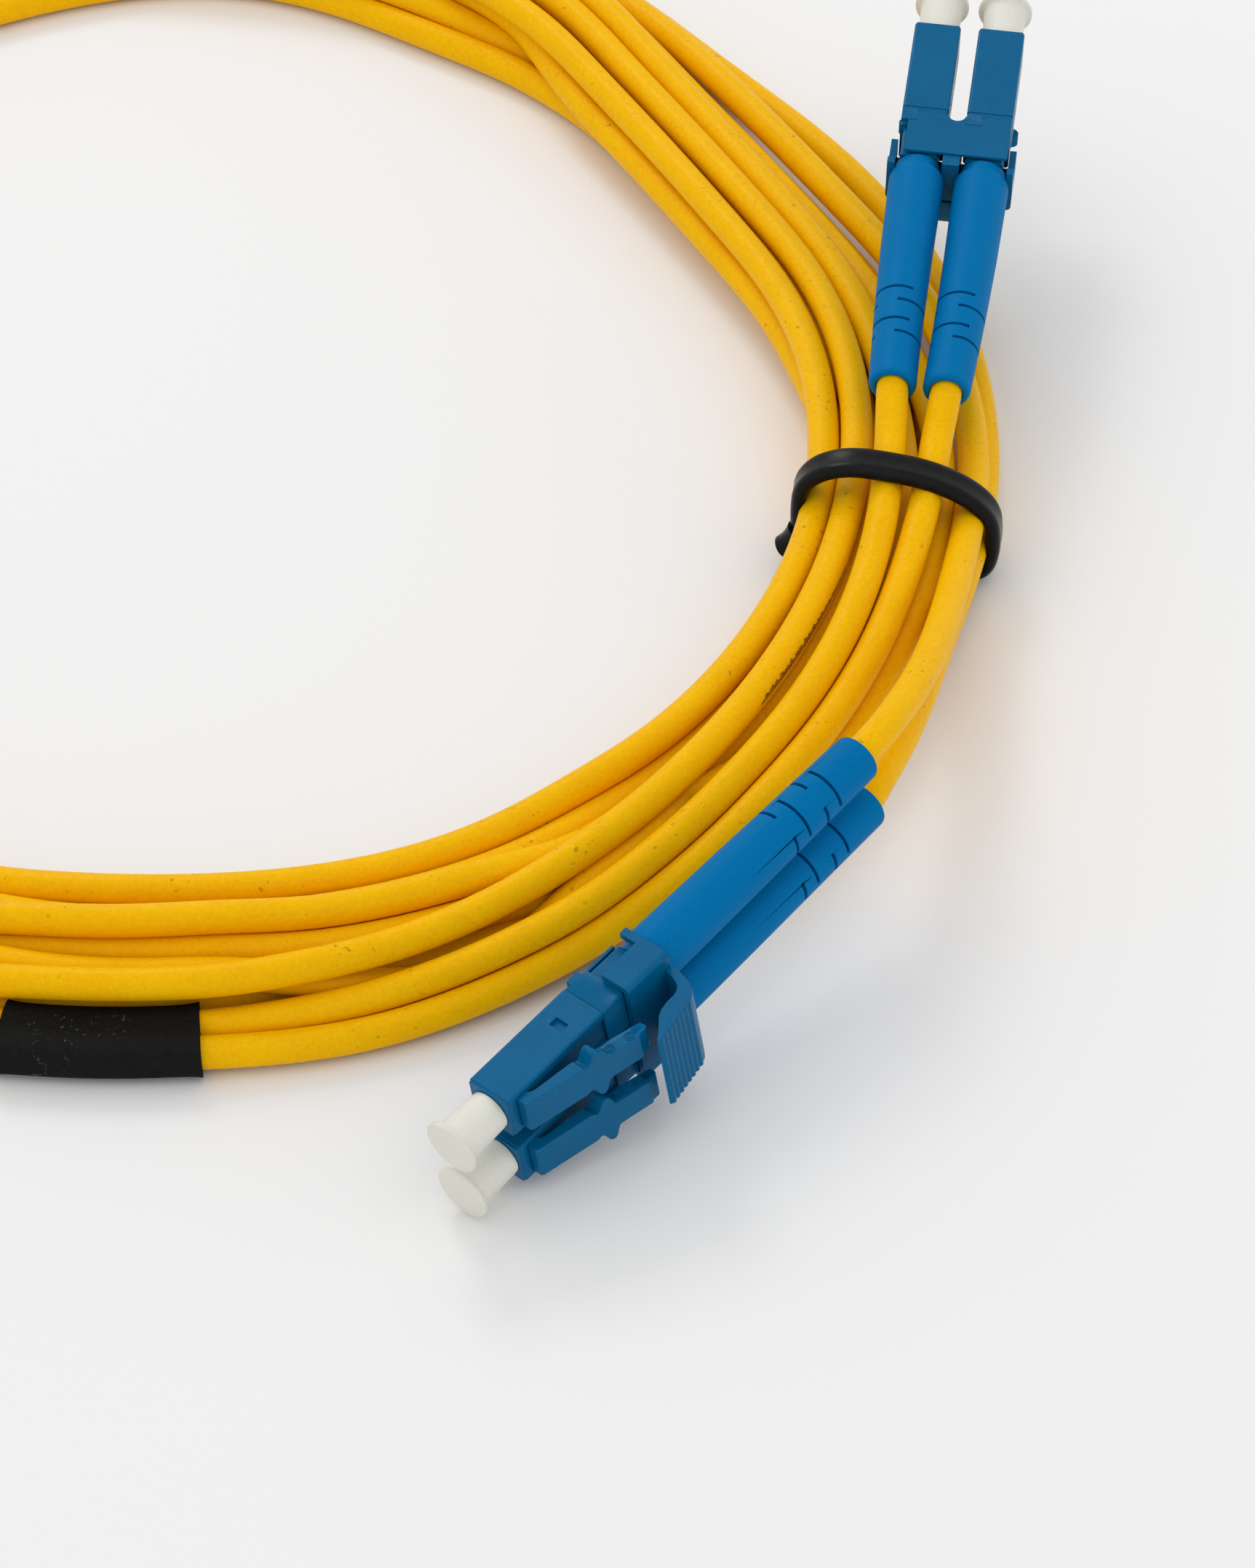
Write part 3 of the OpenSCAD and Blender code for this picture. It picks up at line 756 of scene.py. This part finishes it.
def ring_place(s):
    """The point and the outward way at a distance along the ring from the seam"""
    s = (s + SEAM) % AROUND
    for (at, r, a, _), length in zip(RING, LENGTHS):
        if s <= length or at is RING[-1][0]:
            break
        s -= length
    if r == 0:
        out = Vector((math.cos(a), math.sin(a)))
        return at + s * Vector((-out.y, out.x)), out
    turn = a + s / r
    out = Vector((math.cos(turn), math.sin(turn)))
    return at + r * out, out


def on_round(turn):
    """Distance from the seam of a place on the round side, given by its turn in degrees"""
    return ROUND_R * math.radians(turn - SEAM_TURN)


STRAIGHT_AT = on_round(STRAIGHT_TURN)
TOP_AT = STRAIGHT_AT + STRAIGHT_LEN


def on_top(turn):
    """Distance from the seam of a place on the top arc, given by its turn in degrees"""
    return TOP_AT + TOP_R * math.radians(turn - STRAIGHT_TURN)


# Lanes of the cable's passes through a cut across the bundle: (place along the ring, then for each leg the
# distance outwards from the bundle's middle and the height). A lane runs from the front of the ring to its top.
FRONT = [on_round(t) for t in (-103, -90, -78, -66, -54)]
TIE = [on_round(t) for t in (-42, -28, -18, -9.6, -2)]
UPPER = [
    on_round(12), STRAIGHT_AT, STRAIGHT_AT + 20, STRAIGHT_AT + 32, TOP_AT + 5, on_top(45), on_top(60), on_top(85),
]
LANES = {
    "inner": [
        (-11.4, 5.8, -8.4, 4.6), (-11.5, 5.6, -8.6, 4.4), (-10.7, 5.2, -7.7, 4.4), (-9.4, 5.1, -6.3, 4.5),
        (-8.6, 5.6, -6.2, 3.8),
        (-8.5, 6.2, -7.2, 3.6), (-8.6, 6.5, -7.2, 3.9), (-7.9, 7.0, -7.2, 4.3), (-7.6, 7.4, -7.2, 4.5),
        (-7.7, 7.2, -7.0, 4.3),
        (-7.0, 6.9, -7.5, 3.9), (-6.1, 6.8, -6.4, 3.9), (-5.0, 6.7, -5.3, 3.8), (-5.1, 6.6, -5.1, 3.8),
        (-5.5, 6.6, -4.8, 3.7), (-5.3, 6.5, -4.8, 3.7), (-5.0, 6.4, -4.8, 3.6), (-4.4, 6.0, -5.0, 3.2),
    ],
    "middle": [
        (0.2, 5.9, -1.6, 4.2), (0.2, 5.4, -1.4, 3.4), (0.6, 5.4, 0.2, 2.4), (-0.4, 6.1, 2.2, 1.7),
        (-1.9, 7.0, -1.0, 4.2),
        (-4.0, 7.4, -3.4, 4.5), (-4.8, 7.7, -3.4, 4.8), (-4.9, 8.1, -3.6, 5.2), (-4.6, 8.4, -3.8, 5.4),
        (-4.7, 7.8, -3.6, 4.8),
        (-3.7, 6.9, -4.4, 3.9), (-2.3, 6.7, -3.3, 3.9), (-1.6, 6.6, -2.3, 3.9), (-1.5, 6.5, -2.1, 3.9),
        (-1.3, 6.4, -2.0, 3.8), (-1.3, 6.3, -2.0, 3.8), (-1.2, 6.2, -2.0, 3.8), (-1.0, 6.0, -2.0, 3.8),
    ],
    "hidden": [
        (-5.6, 5.0, -4.4, 2.3), (-5.2, 4.4, -3.2, 2.4), (-4.0, 4.6, -2.6, 2.2), (-3.2, 4.4, -1.0, 3.0),
        (-3.0, 4.2, 0.4, 2.9),
        (-1.9, 4.8, 2.4, 3.4), (-2.3, 5.6, 2.9, 4.4), (-2.2, 6.0, 3.5, 5.2), (-1.2, 5.9, 3.9, 5.9),
        (-1.2, 5.9, 3.6, 5.0),
        (-0.8, 6.4, 2.4, 3.9), (0.6, 6.3, 2.8, 3.8), (1.4, 6.2, 3.4, 3.6), (1.5, 6.2, 3.4, 3.6),
        (1.6, 6.1, 3.4, 4.6), (1.6, 6.1, 3.2, 5.2), (1.8, 6.0, 3.0, 5.4), (2.0, 6.0, 3.2, 5.0),
    ],
    "low_in": [
        (-10.0, 1.6, -6.9, 1.6), (-10.3, 1.5, -7.2, 1.5), (-9.6, 1.5, -6.5, 1.5), (-9.0, 1.5, -5.9, 1.5),
        (-8.4, 1.5, -5.3, 1.5),
        (-8.0, 1.5, -4.9, 1.5), (-7.6, 1.6, -4.5, 1.6), (-7.2, 2.6, -4.1, 2.6), (-7.2, 2.9, -4.1, 2.9),
        (-7.2, 2.6, -4.1, 2.6),
        (-5.6, 1.5, -2.4, 1.5), (-4.9, 1.5, -1.5, 1.5), (-4.0, 1.5, -0.7, 1.5), (-3.2, 1.5, -0.2, 1.6),
        (-7.2, 1.6, -4.5, 2.4), (-10.0, 1.6, -7.4, 3.2), (-9.9, 1.6, -7.4, 3.8), (-8.8, 1.6, -6.8, 4.0),
    ],
    "low_out": [
        (-3.8, 1.6, -0.6, 1.6), (-4.1, 1.5, -1.0, 1.5), (-3.4, 1.5, -0.3, 1.5), (-2.8, 1.5, 0.3, 1.5),
        (-2.2, 1.5, 0.9, 1.5),
        (-1.8, 1.5, 1.3, 1.5), (-1.4, 1.6, 1.7, 1.6), (-1.0, 2.6, 2.1, 2.6), (-1.0, 2.9, 2.1, 2.9),
        (-1.0, 2.6, 2.1, 2.6),
        (0.8, 1.5, 4.1, 1.5), (1.6, 1.5, 4.9, 1.5), (2.4, 1.5, 5.6, 1.5), (2.6, 1.5, 5.6, 1.5),
        (-0.6, 1.5, 2.5, 1.5), (-3.0, 1.5, 0.1, 1.5), (-4.0, 1.5, -0.9, 1.5), (-4.0, 1.5, -0.9, 1.5),
    ],
}
# the first pass, from connector A's boots, and the last, to connector B's
LEAVING = [
    (on_round(-42), 14.0, 16.7, 14.1, 10.5), (on_round(-39.3), 14.0, 17.1, 13.8, 11.0),
    (on_round(-34), 12.2, 15.5, 11.0, 10.0), (on_round(-28), 9.1, 12.0, 7.6, 7.8),
    (on_round(-23), 7.0, 9.5, 5.9, 5.4), (on_round(-17), 5.9, 7.5, 5.6, 4.1), (on_round(-9.6), 6.0, 6.4, 6.6, 3.3),
    (on_round(-2), 6.4, 5.8, 7.2, 2.8), (on_round(12), 6.7, 4.8, 8.8, 2.2), (STRAIGHT_AT, 6.9, 4.6, 11.8, 2.2),
    (STRAIGHT_AT + 9, 7.2, 4.6, 12.4, 2.2), (STRAIGHT_AT + 17, 7.3, 4.6, 12.0, 2.2),
    (STRAIGHT_AT + 25, 7.4, 4.6, 10.6, 2.0), (TOP_AT, 7.0, 4.4, 8.6, 1.6), (on_top(45), 5.0, 3.4, 7.4, 1.7),
    (on_top(57), 2.2, 1.9, 5.2, 1.9), (on_top(82), 2.2, 1.9, 5.2, 1.9), (on_top(95), 2.4, 1.7, 5.4, 1.6),
]
ARRIVING = [
    (on_round(-103), 2.2, 1.9, 5.2, 1.9), (on_round(-88), 2.2, 1.9, 5.2, 1.9), (on_round(-78), 2.9, 2.4, 5.5, 1.6),
    (on_round(-66), 2.9, 3.6, 5.3, 1.9), (on_round(-54), 1.2, 5.3, 3.9, 3.7), (on_round(-42), 0.2, 6.7, 3.0, 5.2),
    (on_round(-28), -0.3, 8.1, 2.5, 7.0), (on_round(-18), -1.0, 9.1, 1.9, 8.3), (on_round(-9.6), -1.6, 9.7, 1.8, 9.1),
    (on_round(-4.8), -1.5, 11.2, 3.0, 10.9), (on_round(-1.3), -1.2, 13.0, 3.75, 12.7),
]
# the lane that each pass takes over the top of the ring; it comes back to the front in the next one's lane
ORDER = ["low_out", "low_in", "inner", "middle", "hidden"]
# how the passes are settled: planes round the ring, the longest gap between two stations that still holds the
# legs (mm), and the number of rounds, of which the last ones hold more loosely
PLANES = 159
FREE_GAP = 60
ROUNDS = 420
LAST_ROUNDS = 120
# the tie's middle line in its own plane, as (distance from the ring's middle, height), and its cut end
TIE_TURN = -9.6
TIE_LOOP = [
    (60.3, 0.78), (59.2, 1.1), (58.5, 2.2), (58.4, 4.5), (58.4, 7.6), (58.7, 9.9), (60.4, 11.7), (63.2, 12.6),
    (66.5, 12.3), (70.0, 11.7), (73.0, 10.5), (75.2, 8.9), (76.4, 7.2), (76.6, 5.4), (76.5, 3.4), (76.0, 1.6),
    (74.8, 0.8), (72.0, 0.76), (66.0, 0.76),
]
TIE_END = [(56.6, 2.6), (57.0, 2.9), (57.6, 3.5), (58.2, 4.5), (58.6, 5.8)]
SLEEVES = [("b", on_round(-101.6), 16.5, 3.7, 1.9), ("a", on_top(60), 16.5, 3.7, 1.9)]


def lane_stations(turns):
    """Every station of the whole cable as (distance, place of leg 1, of leg 2, how firmly each is held)"""
    rows = [(s, (a, b), (c, d), 1.0, 1.0) for s, a, b, c, d in LEAVING]
    for k, name in enumerate(ORDER[: turns - 1]):
        firm = 1.0 if name in ("inner", "middle") else 0.2
        for s, (a, b, c, d) in zip(FRONT + TIE + UPPER, LANES[name]):
            rows.append(((k + 1) * AROUND + s, (a, b), (c, d), firm, 0.2))
    rows += [(turns * AROUND + s, (a, b), (c, d), 1.0, 1.0) for s, a, b, c, d in ARRIVING]
    return rows


def settle(turns, diameter):
    """Heights and distances of both legs on every plane across the bundle, pushed apart until they lie together"""
    rows = lane_stations(turns)
    step = AROUND / PLANES
    last = int(round((turns * AROUND + on_round(-1.6)) / step))
    s = np.arange(last + 1) * step
    at = np.array([r[0] for r in rows])
    wish = np.stack([
        np.stack([np.interp(s, at, [r[leg][axis] for r in rows]) for axis in (0, 1)], axis=1) for leg in (1, 2)
    ])
    blur = np.exp(-np.linspace(-2, 2, 11) ** 2)
    blur /= blur.sum()
    for leg in (0, 1):
        for axis in (0, 1):
            padded = np.pad(wish[leg, :, axis], 5, mode="edge")
            wish[leg, :, axis] = np.convolve(padded, blur, mode="valid")
    firm = np.stack([np.interp(s, at, [r[leg] for r in rows]) for leg in (3, 4)])
    gaps = np.diff(at)
    k = np.clip(np.searchsorted(at, s, side="right") - 1, 0, len(at) - 2)
    free = gaps[k] > FREE_GAP
    firm = np.where(free[None], 0.2, firm)
    hold = np.where(free[None], 0.004, 0.02 + 0.16 * firm)
    share = 1.0 - 0.75 * firm
    low = np.where(free, 0.03, 0.0)
    tie = np.abs((s - on_round(TIE_TURN)) % AROUND)
    tie = np.minimum(tie, AROUND - tie)
    floor = diameter / 2 + 1.35 * np.exp(-((tie / 11.0) ** 2))
    passes = turns + 1
    index = np.arange(PLANES)[:, None] + PLANES * np.arange(passes)[None, :]
    there = index <= last
    index = np.where(there, index, last)
    both = np.concatenate([there, there], axis=1)
    yielding = np.concatenate([share[0][index], share[1][index]], axis=1)
    yielding = yielding[:, :, None] / (yielding[:, :, None] + yielding[:, None, :])
    pair_ok = both[:, :, None] & both[:, None, :] & ~np.eye(2 * passes, dtype=bool)[None]
    pinned = [s < s[2], s > s[-3]]
    for key, start, length, _, _ in SLEEVES:
        run = s - start - (turns * AROUND if key == "b" else 0)
        pinned.append((run > -3) & (run < length + 3))
    pinned = np.any(pinned, axis=0)
    x = wish.copy()
    apart = diameter * 1.015
    for turn in range(ROUNDS):
        late = turn > ROUNDS - LAST_ROUNDS
        middle = (x[:, 2:] + x[:, :-2]) / 2
        x[:, 1:-1] += 0.3 * (middle - x[:, 1:-1])
        pull = hold * (0.25 if late else 1.0)
        x += pull[..., None] * (wish - x)
        x[:, :, 1] -= low[None, :]
        between = x[1] - x[0]
        gap = np.linalg.norm(between, axis=1)
        draw = np.where(free, np.clip(gap - apart, 0, 1) * 0.05, 0)[:, None]
        draw = draw * between / np.maximum(gap, 1e-6)[:, None]
        x[0] += draw
        x[1] -= draw
        for _ in range(4 if late else 2):
            cut = np.concatenate([x[0][index], x[1][index]], axis=1)
            away = cut[:, :, None, :] - cut[:, None, :, :]
            d = np.linalg.norm(away, axis=3)
            push = np.where(pair_ok & (d < apart), (apart - d) * yielding, 0)
            shift = (push[..., None] * away / np.maximum(d, 1e-6)[..., None]).sum(axis=2) * 0.6
            for leg in (0, 1):
                part = shift[:, leg * passes:(leg + 1) * passes]
                np.add.at(x[leg], index[there], part[there])
            x[:, :, 1] = np.maximum(x[:, :, 1], floor[None, :])
        x[:, pinned] = wish[:, pinned]
    return s, x


def leg_points(leg, s, lanes):
    """Points of one leg in metres, from inside its boot at A to inside its boot at B"""
    points = []
    a, b = plug_frame(f"a{leg + 1}"), plug_frame(f"b{leg + 1}")
    for x in (CABLE_START, -30.0, -36.0, -42.0, BOOT_END + 0.8):
        points.append(a @ Vector((x, 0, 0)))
    for distance, (out, height) in zip(s[1:-1], lanes[leg][1:-1]):
        at, way = ring_place(float(distance))
        flat = at + way * float(out)
        points.append((RING_AT + Vector((flat.x, flat.y, float(height)))) * MM)
    for x in (BOOT_END + 0.8, -42.0, -36.0, -30.0, CABLE_START):
        points.append(b @ Vector((x, boot_bend(f"b{leg + 1}", x), 0)))
    return points


def smooth_line(points, step):
    """A smooth line through the points, in even steps"""
    p = np.array([tuple(v) for v in points])
    for _ in range(2):
        p[6:-6] = (p[5:-7] + 2 * p[6:-6] + p[7:-5]) / 4
    fine = []
    for k in range(len(p) - 1):
        a, b, c, d = p[max(k - 1, 0)], p[k], p[k + 1], p[min(k + 2, len(p) - 1)]
        for t in (0.0, 0.25, 0.5, 0.75):
            square, cube = 2 * a - 5 * b + 4 * c - d, 3 * b - a - 3 * c + d
            fine.append(0.5 * (2 * b + (c - a) * t + square * t**2 + cube * t**3))
    fine.append(p[-1])
    fine = np.array(fine)
    run = np.concatenate([[0], np.cumsum(np.linalg.norm(np.diff(fine, axis=0), axis=1))])
    count = int(run[-1] / step)
    even = np.linspace(0, run[-1], count + 1)
    return np.stack([np.interp(even, run, fine[:, i]) for i in range(3)], axis=1), run[-1]


def tube(name, line, radius, sides):
    """A round tube along a line of points"""
    way = np.gradient(line, axis=0)
    way /= np.linalg.norm(way, axis=1)[:, None]
    side = np.cross([0, 0, 1.0], way)
    side /= np.linalg.norm(side, axis=1)[:, None]
    up = np.cross(way, side)
    turn = np.arange(sides) * math.tau / sides
    across, along = np.cos(turn)[None, :, None], np.sin(turn)[None, :, None]
    rings = line[:, None] + radius * (across * side[:, None] + along * up[:, None])
    return loft(name, [[tuple(p) for p in ring] for ring in rings], False)


class PATCHCORD_OT_cable(Operator):
    """Winds both legs of the cable from connector A to connector B"""

    bl_idname = "patchcord.cable"
    bl_label = "Cable"

    def execute(self, context):
        sizes = context.scene.patch_cord_sizes
        diameter = sizes.cable / MM
        s, lanes = settle(sizes.turns, diameter)
        for leg in (0, 1):
            line, length = smooth_line(leg_points(leg, s, lanes), 0.0018)
            obj = tube(f"leg_{leg + 1}", line, sizes.cable / 2, 18)
            obj.data.materials.append(bpy.data.materials["jacket_yellow"])
            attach(obj, ROOT)
            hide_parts(f"lead_a{leg + 1}", f"lead_b{leg + 1}", *(["coil"] if leg == 0 else []))
        return {"FINISHED"}


def around_tie(outline, closed=True):
    """A smooth loop through (radius, height) places in the tie's plane, as places and their outward ways"""
    p = np.array(outline, dtype=float)
    for _ in range(4):
        q = np.roll(p, -1, axis=0) if closed else p[1:]
        base = p if closed else p[:-1]
        p = np.stack([0.75 * base + 0.25 * q, 0.25 * base + 0.75 * q], axis=1).reshape(-1, 2)
    way = (np.roll(p, -1, axis=0) - np.roll(p, 1, axis=0)) if closed else np.gradient(p, axis=0)
    way /= np.linalg.norm(way, axis=1)[:, None]
    return p, np.stack([way[:, 1], -way[:, 0]], axis=1)


def tie_point(out, height, along):
    """A point at a radius and height in the tie's plane, moved along the bundle"""
    turn = math.radians(TIE_TURN)
    flat = Vector((math.cos(turn), math.sin(turn))) * float(out) + Vector((-math.sin(turn), math.cos(turn))) * along
    return tuple((RING_AT + Vector((flat.x, flat.y, float(height)))) * MM)


class PATCHCORD_OT_tie(Operator):
    """Wraps the two-wire tie round the bundle, with its cut end standing off the inner side"""

    bl_idname = "patchcord.tie"
    bl_label = "Tie"

    def execute(self, context):
        wire = context.scene.patch_cord_sizes.tie_wire / MM / 2
        flat = 0.76
        section = []
        for side in (-1, 1):
            for k in range(13):
                turn = math.radians(-112 + 224 * k / 12)
                section.append((side * wire * (0.94 + math.cos(turn)), side * flat * wire * math.sin(turn)))
        places, ways = around_tie(TIE_LOOP)
        rings = []
        for (r, z), (a, b) in zip(places, ways):
            rings.append([tie_point(r + out * a, z + out * b, along) for along, out in section])
        loop = loft("tie", rings, True)
        loop.data.materials.append(bpy.data.materials["tie_black"])
        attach(loop, ROOT)
        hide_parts("twist_tie")
        rings = []
        places, ways = around_tie(TIE_END, False)
        for k, ((r, z), (a, b)) in enumerate(zip(places, ways)):
            size = 0.55 + 0.45 * min(1.0, 6 * k / len(places)) if k < 3 else 1.0
            rings.append([
                tie_point(r + size * wire * 1.05 * math.cos(t) * a, z + size * wire * 1.05 * math.cos(t) * b,
                          -1.2 + size * wire * 1.3 * math.sin(t))
                for t in (math.tau * i / 20 for i in range(20))
            ])
        end = loft("tie_end", rings, False)
        end.data.materials.append(bpy.data.materials["tie_black"])
        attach(end, ROOT)
        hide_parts("tie_tail")
        return {"FINISHED"}


class PATCHCORD_OT_sleeves(Operator):
    """Shrinks the two flat sleeves over both legs, with flared ends and a dent between the legs"""

    bl_idname = "patchcord.sleeves"
    bl_label = "Sleeves"

    def execute(self, context):
        leg = context.scene.patch_cord_sizes.cable / MM / 2
        for key, start, length, out, height in SLEEVES:
            rings = []
            count = 40
            for k in range(count + 1):
                t = k / count
                flare = 0.16 * (math.exp(-t * 24) + math.exp(-(1 - t) * 24))
                at, way = ring_place(start + length * t)
                ring = []
                for i in range(56):
                    turn = math.tau * i / 56
                    c, d = math.cos(turn), math.sin(turn)
                    wide = (leg * 2 + 0.42 + flare) * math.copysign(abs(c) ** 0.62, c)
                    dent = 0.16 * math.exp(-((wide / 0.8) ** 2))
                    high = (leg + 0.36 + flare - dent) * math.copysign(abs(d) ** 0.55, d)
                    spot = at + way * (out + wide)
                    ring.append(tuple((RING_AT + Vector((spot.x, spot.y, max(0.02, height + high)))) * MM))
                rings.append(ring)
            obj = loft(f"sleeve_{key}", rings, False)
            obj.data.materials.append(bpy.data.materials["sleeve_black"])
            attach(obj, ROOT)
            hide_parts(f"sleeve_{key}")
        return {"FINISHED"}


class PATCHCORD_OT_torn_web(Operator):
    """Lays the ragged ridge where the web between the legs was torn; its dark brown is painted shade of the valley
    beside the strand
    """

    bl_idname = "patchcord.torn_web"
    bl_label = "Torn web"

    def execute(self, context):
        sizes = context.scene.patch_cord_sizes
        radius = sizes.cable / MM / 2
        s, lanes = settle(sizes.turns, radius * 2)
        start = (ORDER.index("middle") + 1) * AROUND + on_round(-36)
        rings = []
        count = 120
        for k in range(count + 1):
            run = start + 21 * k / count
            out, height = (float(np.interp(run, s, lanes[0][:, axis])) for axis in (0, 1))
            ragged = abs(math.sin(k * 1.9) * math.sin(k * 0.53 + 1)) + 0.5 * abs(math.sin(k * 0.31))
            fade = min(1.0, k / 8, (count - k) / 60)
            low, high = math.radians(12), math.radians(12 + (4 + 12 * ragged) * fade)
            ring = []
            for turn, r in ((low, radius - 0.03), (low, radius + 0.05), (high, radius + 0.03), (high, radius - 0.03)):
                at, way = ring_place(run)
                spot = at + way * (out + r * math.cos(turn))
                ring.append(tuple((RING_AT + Vector((spot.x, spot.y, height + r * math.sin(turn)))) * MM))
            rings.append(ring)
        # the ridge's dark brown finish is painted shade of the valley between the strands
        web = loft("torn_web", rings, False)
        web.data.materials.append(bpy.data.materials["web_brown"])
        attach(web, ROOT)
        return {"FINISHED"}


class PATCHCORD_OT_stage(Operator):
    """Lays the pale floor, sets the soft lights and the camera"""

    bl_idname = "patchcord.stage"
    bl_label = "Stage"

    def execute(self, context):
        scene = context.scene
        scene.view_settings.view_transform = "Standard"
        bpy.ops.object.select_all(action="DESELECT")
        bpy.ops.mesh.primitive_plane_add(size=6, location=(0, 0, -0.0002))
        floor = context.object
        floor.name = "floor"
        pale = bpy.data.materials.new("pale_floor")
        pale.use_nodes = True
        skin = pale.node_tree.nodes["Principled BSDF"]
        skin.inputs["Base Color"].default_value = (*scene.patch_cord_colours.floor, 1)
        skin.inputs["Roughness"].default_value = 0.9
        floor.data.materials.append(pale)
        world = bpy.data.worlds.new("studio")
        scene.world = world
        world.use_nodes = True
        world.node_tree.nodes["Background"].inputs["Color"].default_value = (1, 1, 1, 1)
        world.node_tree.nodes["Background"].inputs["Strength"].default_value = 0.86
        for name, at, size, power in (
            ("key", (-0.25, 0.75, 0.75), 0.32, 2.0),
            ("fill", (0.15, -0.3, 1.0), 0.9, 0.8),
        ):
            bpy.ops.object.light_add(type="AREA", location=at)
            lamp = context.object
            lamp.name = name
            lamp.data.size = size
            lamp.data.energy = power
            lamp.rotation_euler = (Vector((0, 0, 0)) - Vector(at)).to_track_quat("-Z", "Y").to_euler()
        bpy.ops.object.camera_add()
        camera = context.object
        camera.name = "camera"
        camera.data.sensor_width = 36
        camera.data.lens = 143.87
        camera.data.clip_start = 0.01
        at = (RING_AT + Vector((40.53, -455.5, 382.33))) * MM
        camera.matrix_world = (
            Matrix.Translation(at) @ Matrix.Rotation(math.radians(47.42), 4, "X")
            @ Matrix.Rotation(math.radians(-2.5), 4, "Z")
        )
        scene.camera = camera
        return {"FINISHED"}


STEPS = [
    PATCHCORD_OT_finishes, PATCHCORD_OT_stage, PATCHCORD_OT_cable, PATCHCORD_OT_dust_caps, PATCHCORD_OT_housings,
    PATCHCORD_OT_latches, PATCHCORD_OT_rear_bodies, PATCHCORD_OT_boots, PATCHCORD_OT_clips, PATCHCORD_OT_triggers,
    PATCHCORD_OT_inner_parts, PATCHCORD_OT_tie, PATCHCORD_OT_sleeves, PATCHCORD_OT_torn_web,
]


class PATCHCORD_PT_panel(Panel):
    """Lists the cord's pieces"""

    bl_label = "Patch Cord"
    bl_idname = "PATCHCORD_PT_panel"
    bl_space_type = "VIEW_3D"
    bl_region_type = "UI"
    bl_category = "Patch Cord"

    def draw(self, context):
        for group in (context.scene.patch_cord_sizes, context.scene.patch_cord_colours):
            for key in group.bl_rna.properties.keys():
                if key not in ("rna_type", "name"):
                    self.layout.prop(group, key)
        for step in STEPS:
            self.layout.operator(step.bl_idname)


CLASSES = [PatchCordSizes, PatchCordColours, *STEPS, PATCHCORD_PT_panel]


def register():
    for cls in CLASSES:
        bpy.utils.register_class(cls)
    bpy.types.Scene.patch_cord_sizes = PointerProperty(type=PatchCordSizes)
    bpy.types.Scene.patch_cord_colours = PointerProperty(type=PatchCordColours)


def unregister():
    del bpy.types.Scene.patch_cord_colours
    del bpy.types.Scene.patch_cord_sizes
    for cls in reversed(CLASSES):
        bpy.utils.unregister_class(cls)


def main():
    """Builds every piece"""
    import json
    import time

    register()
    for step in STEPS:
        t0 = time.time()
        space, name = step.bl_idname.split(".")
        getattr(getattr(bpy.ops, space), name)()
        print(step.bl_idname, round(time.time() - t0, 1), "s")


if __name__ == "__main__":
    main()
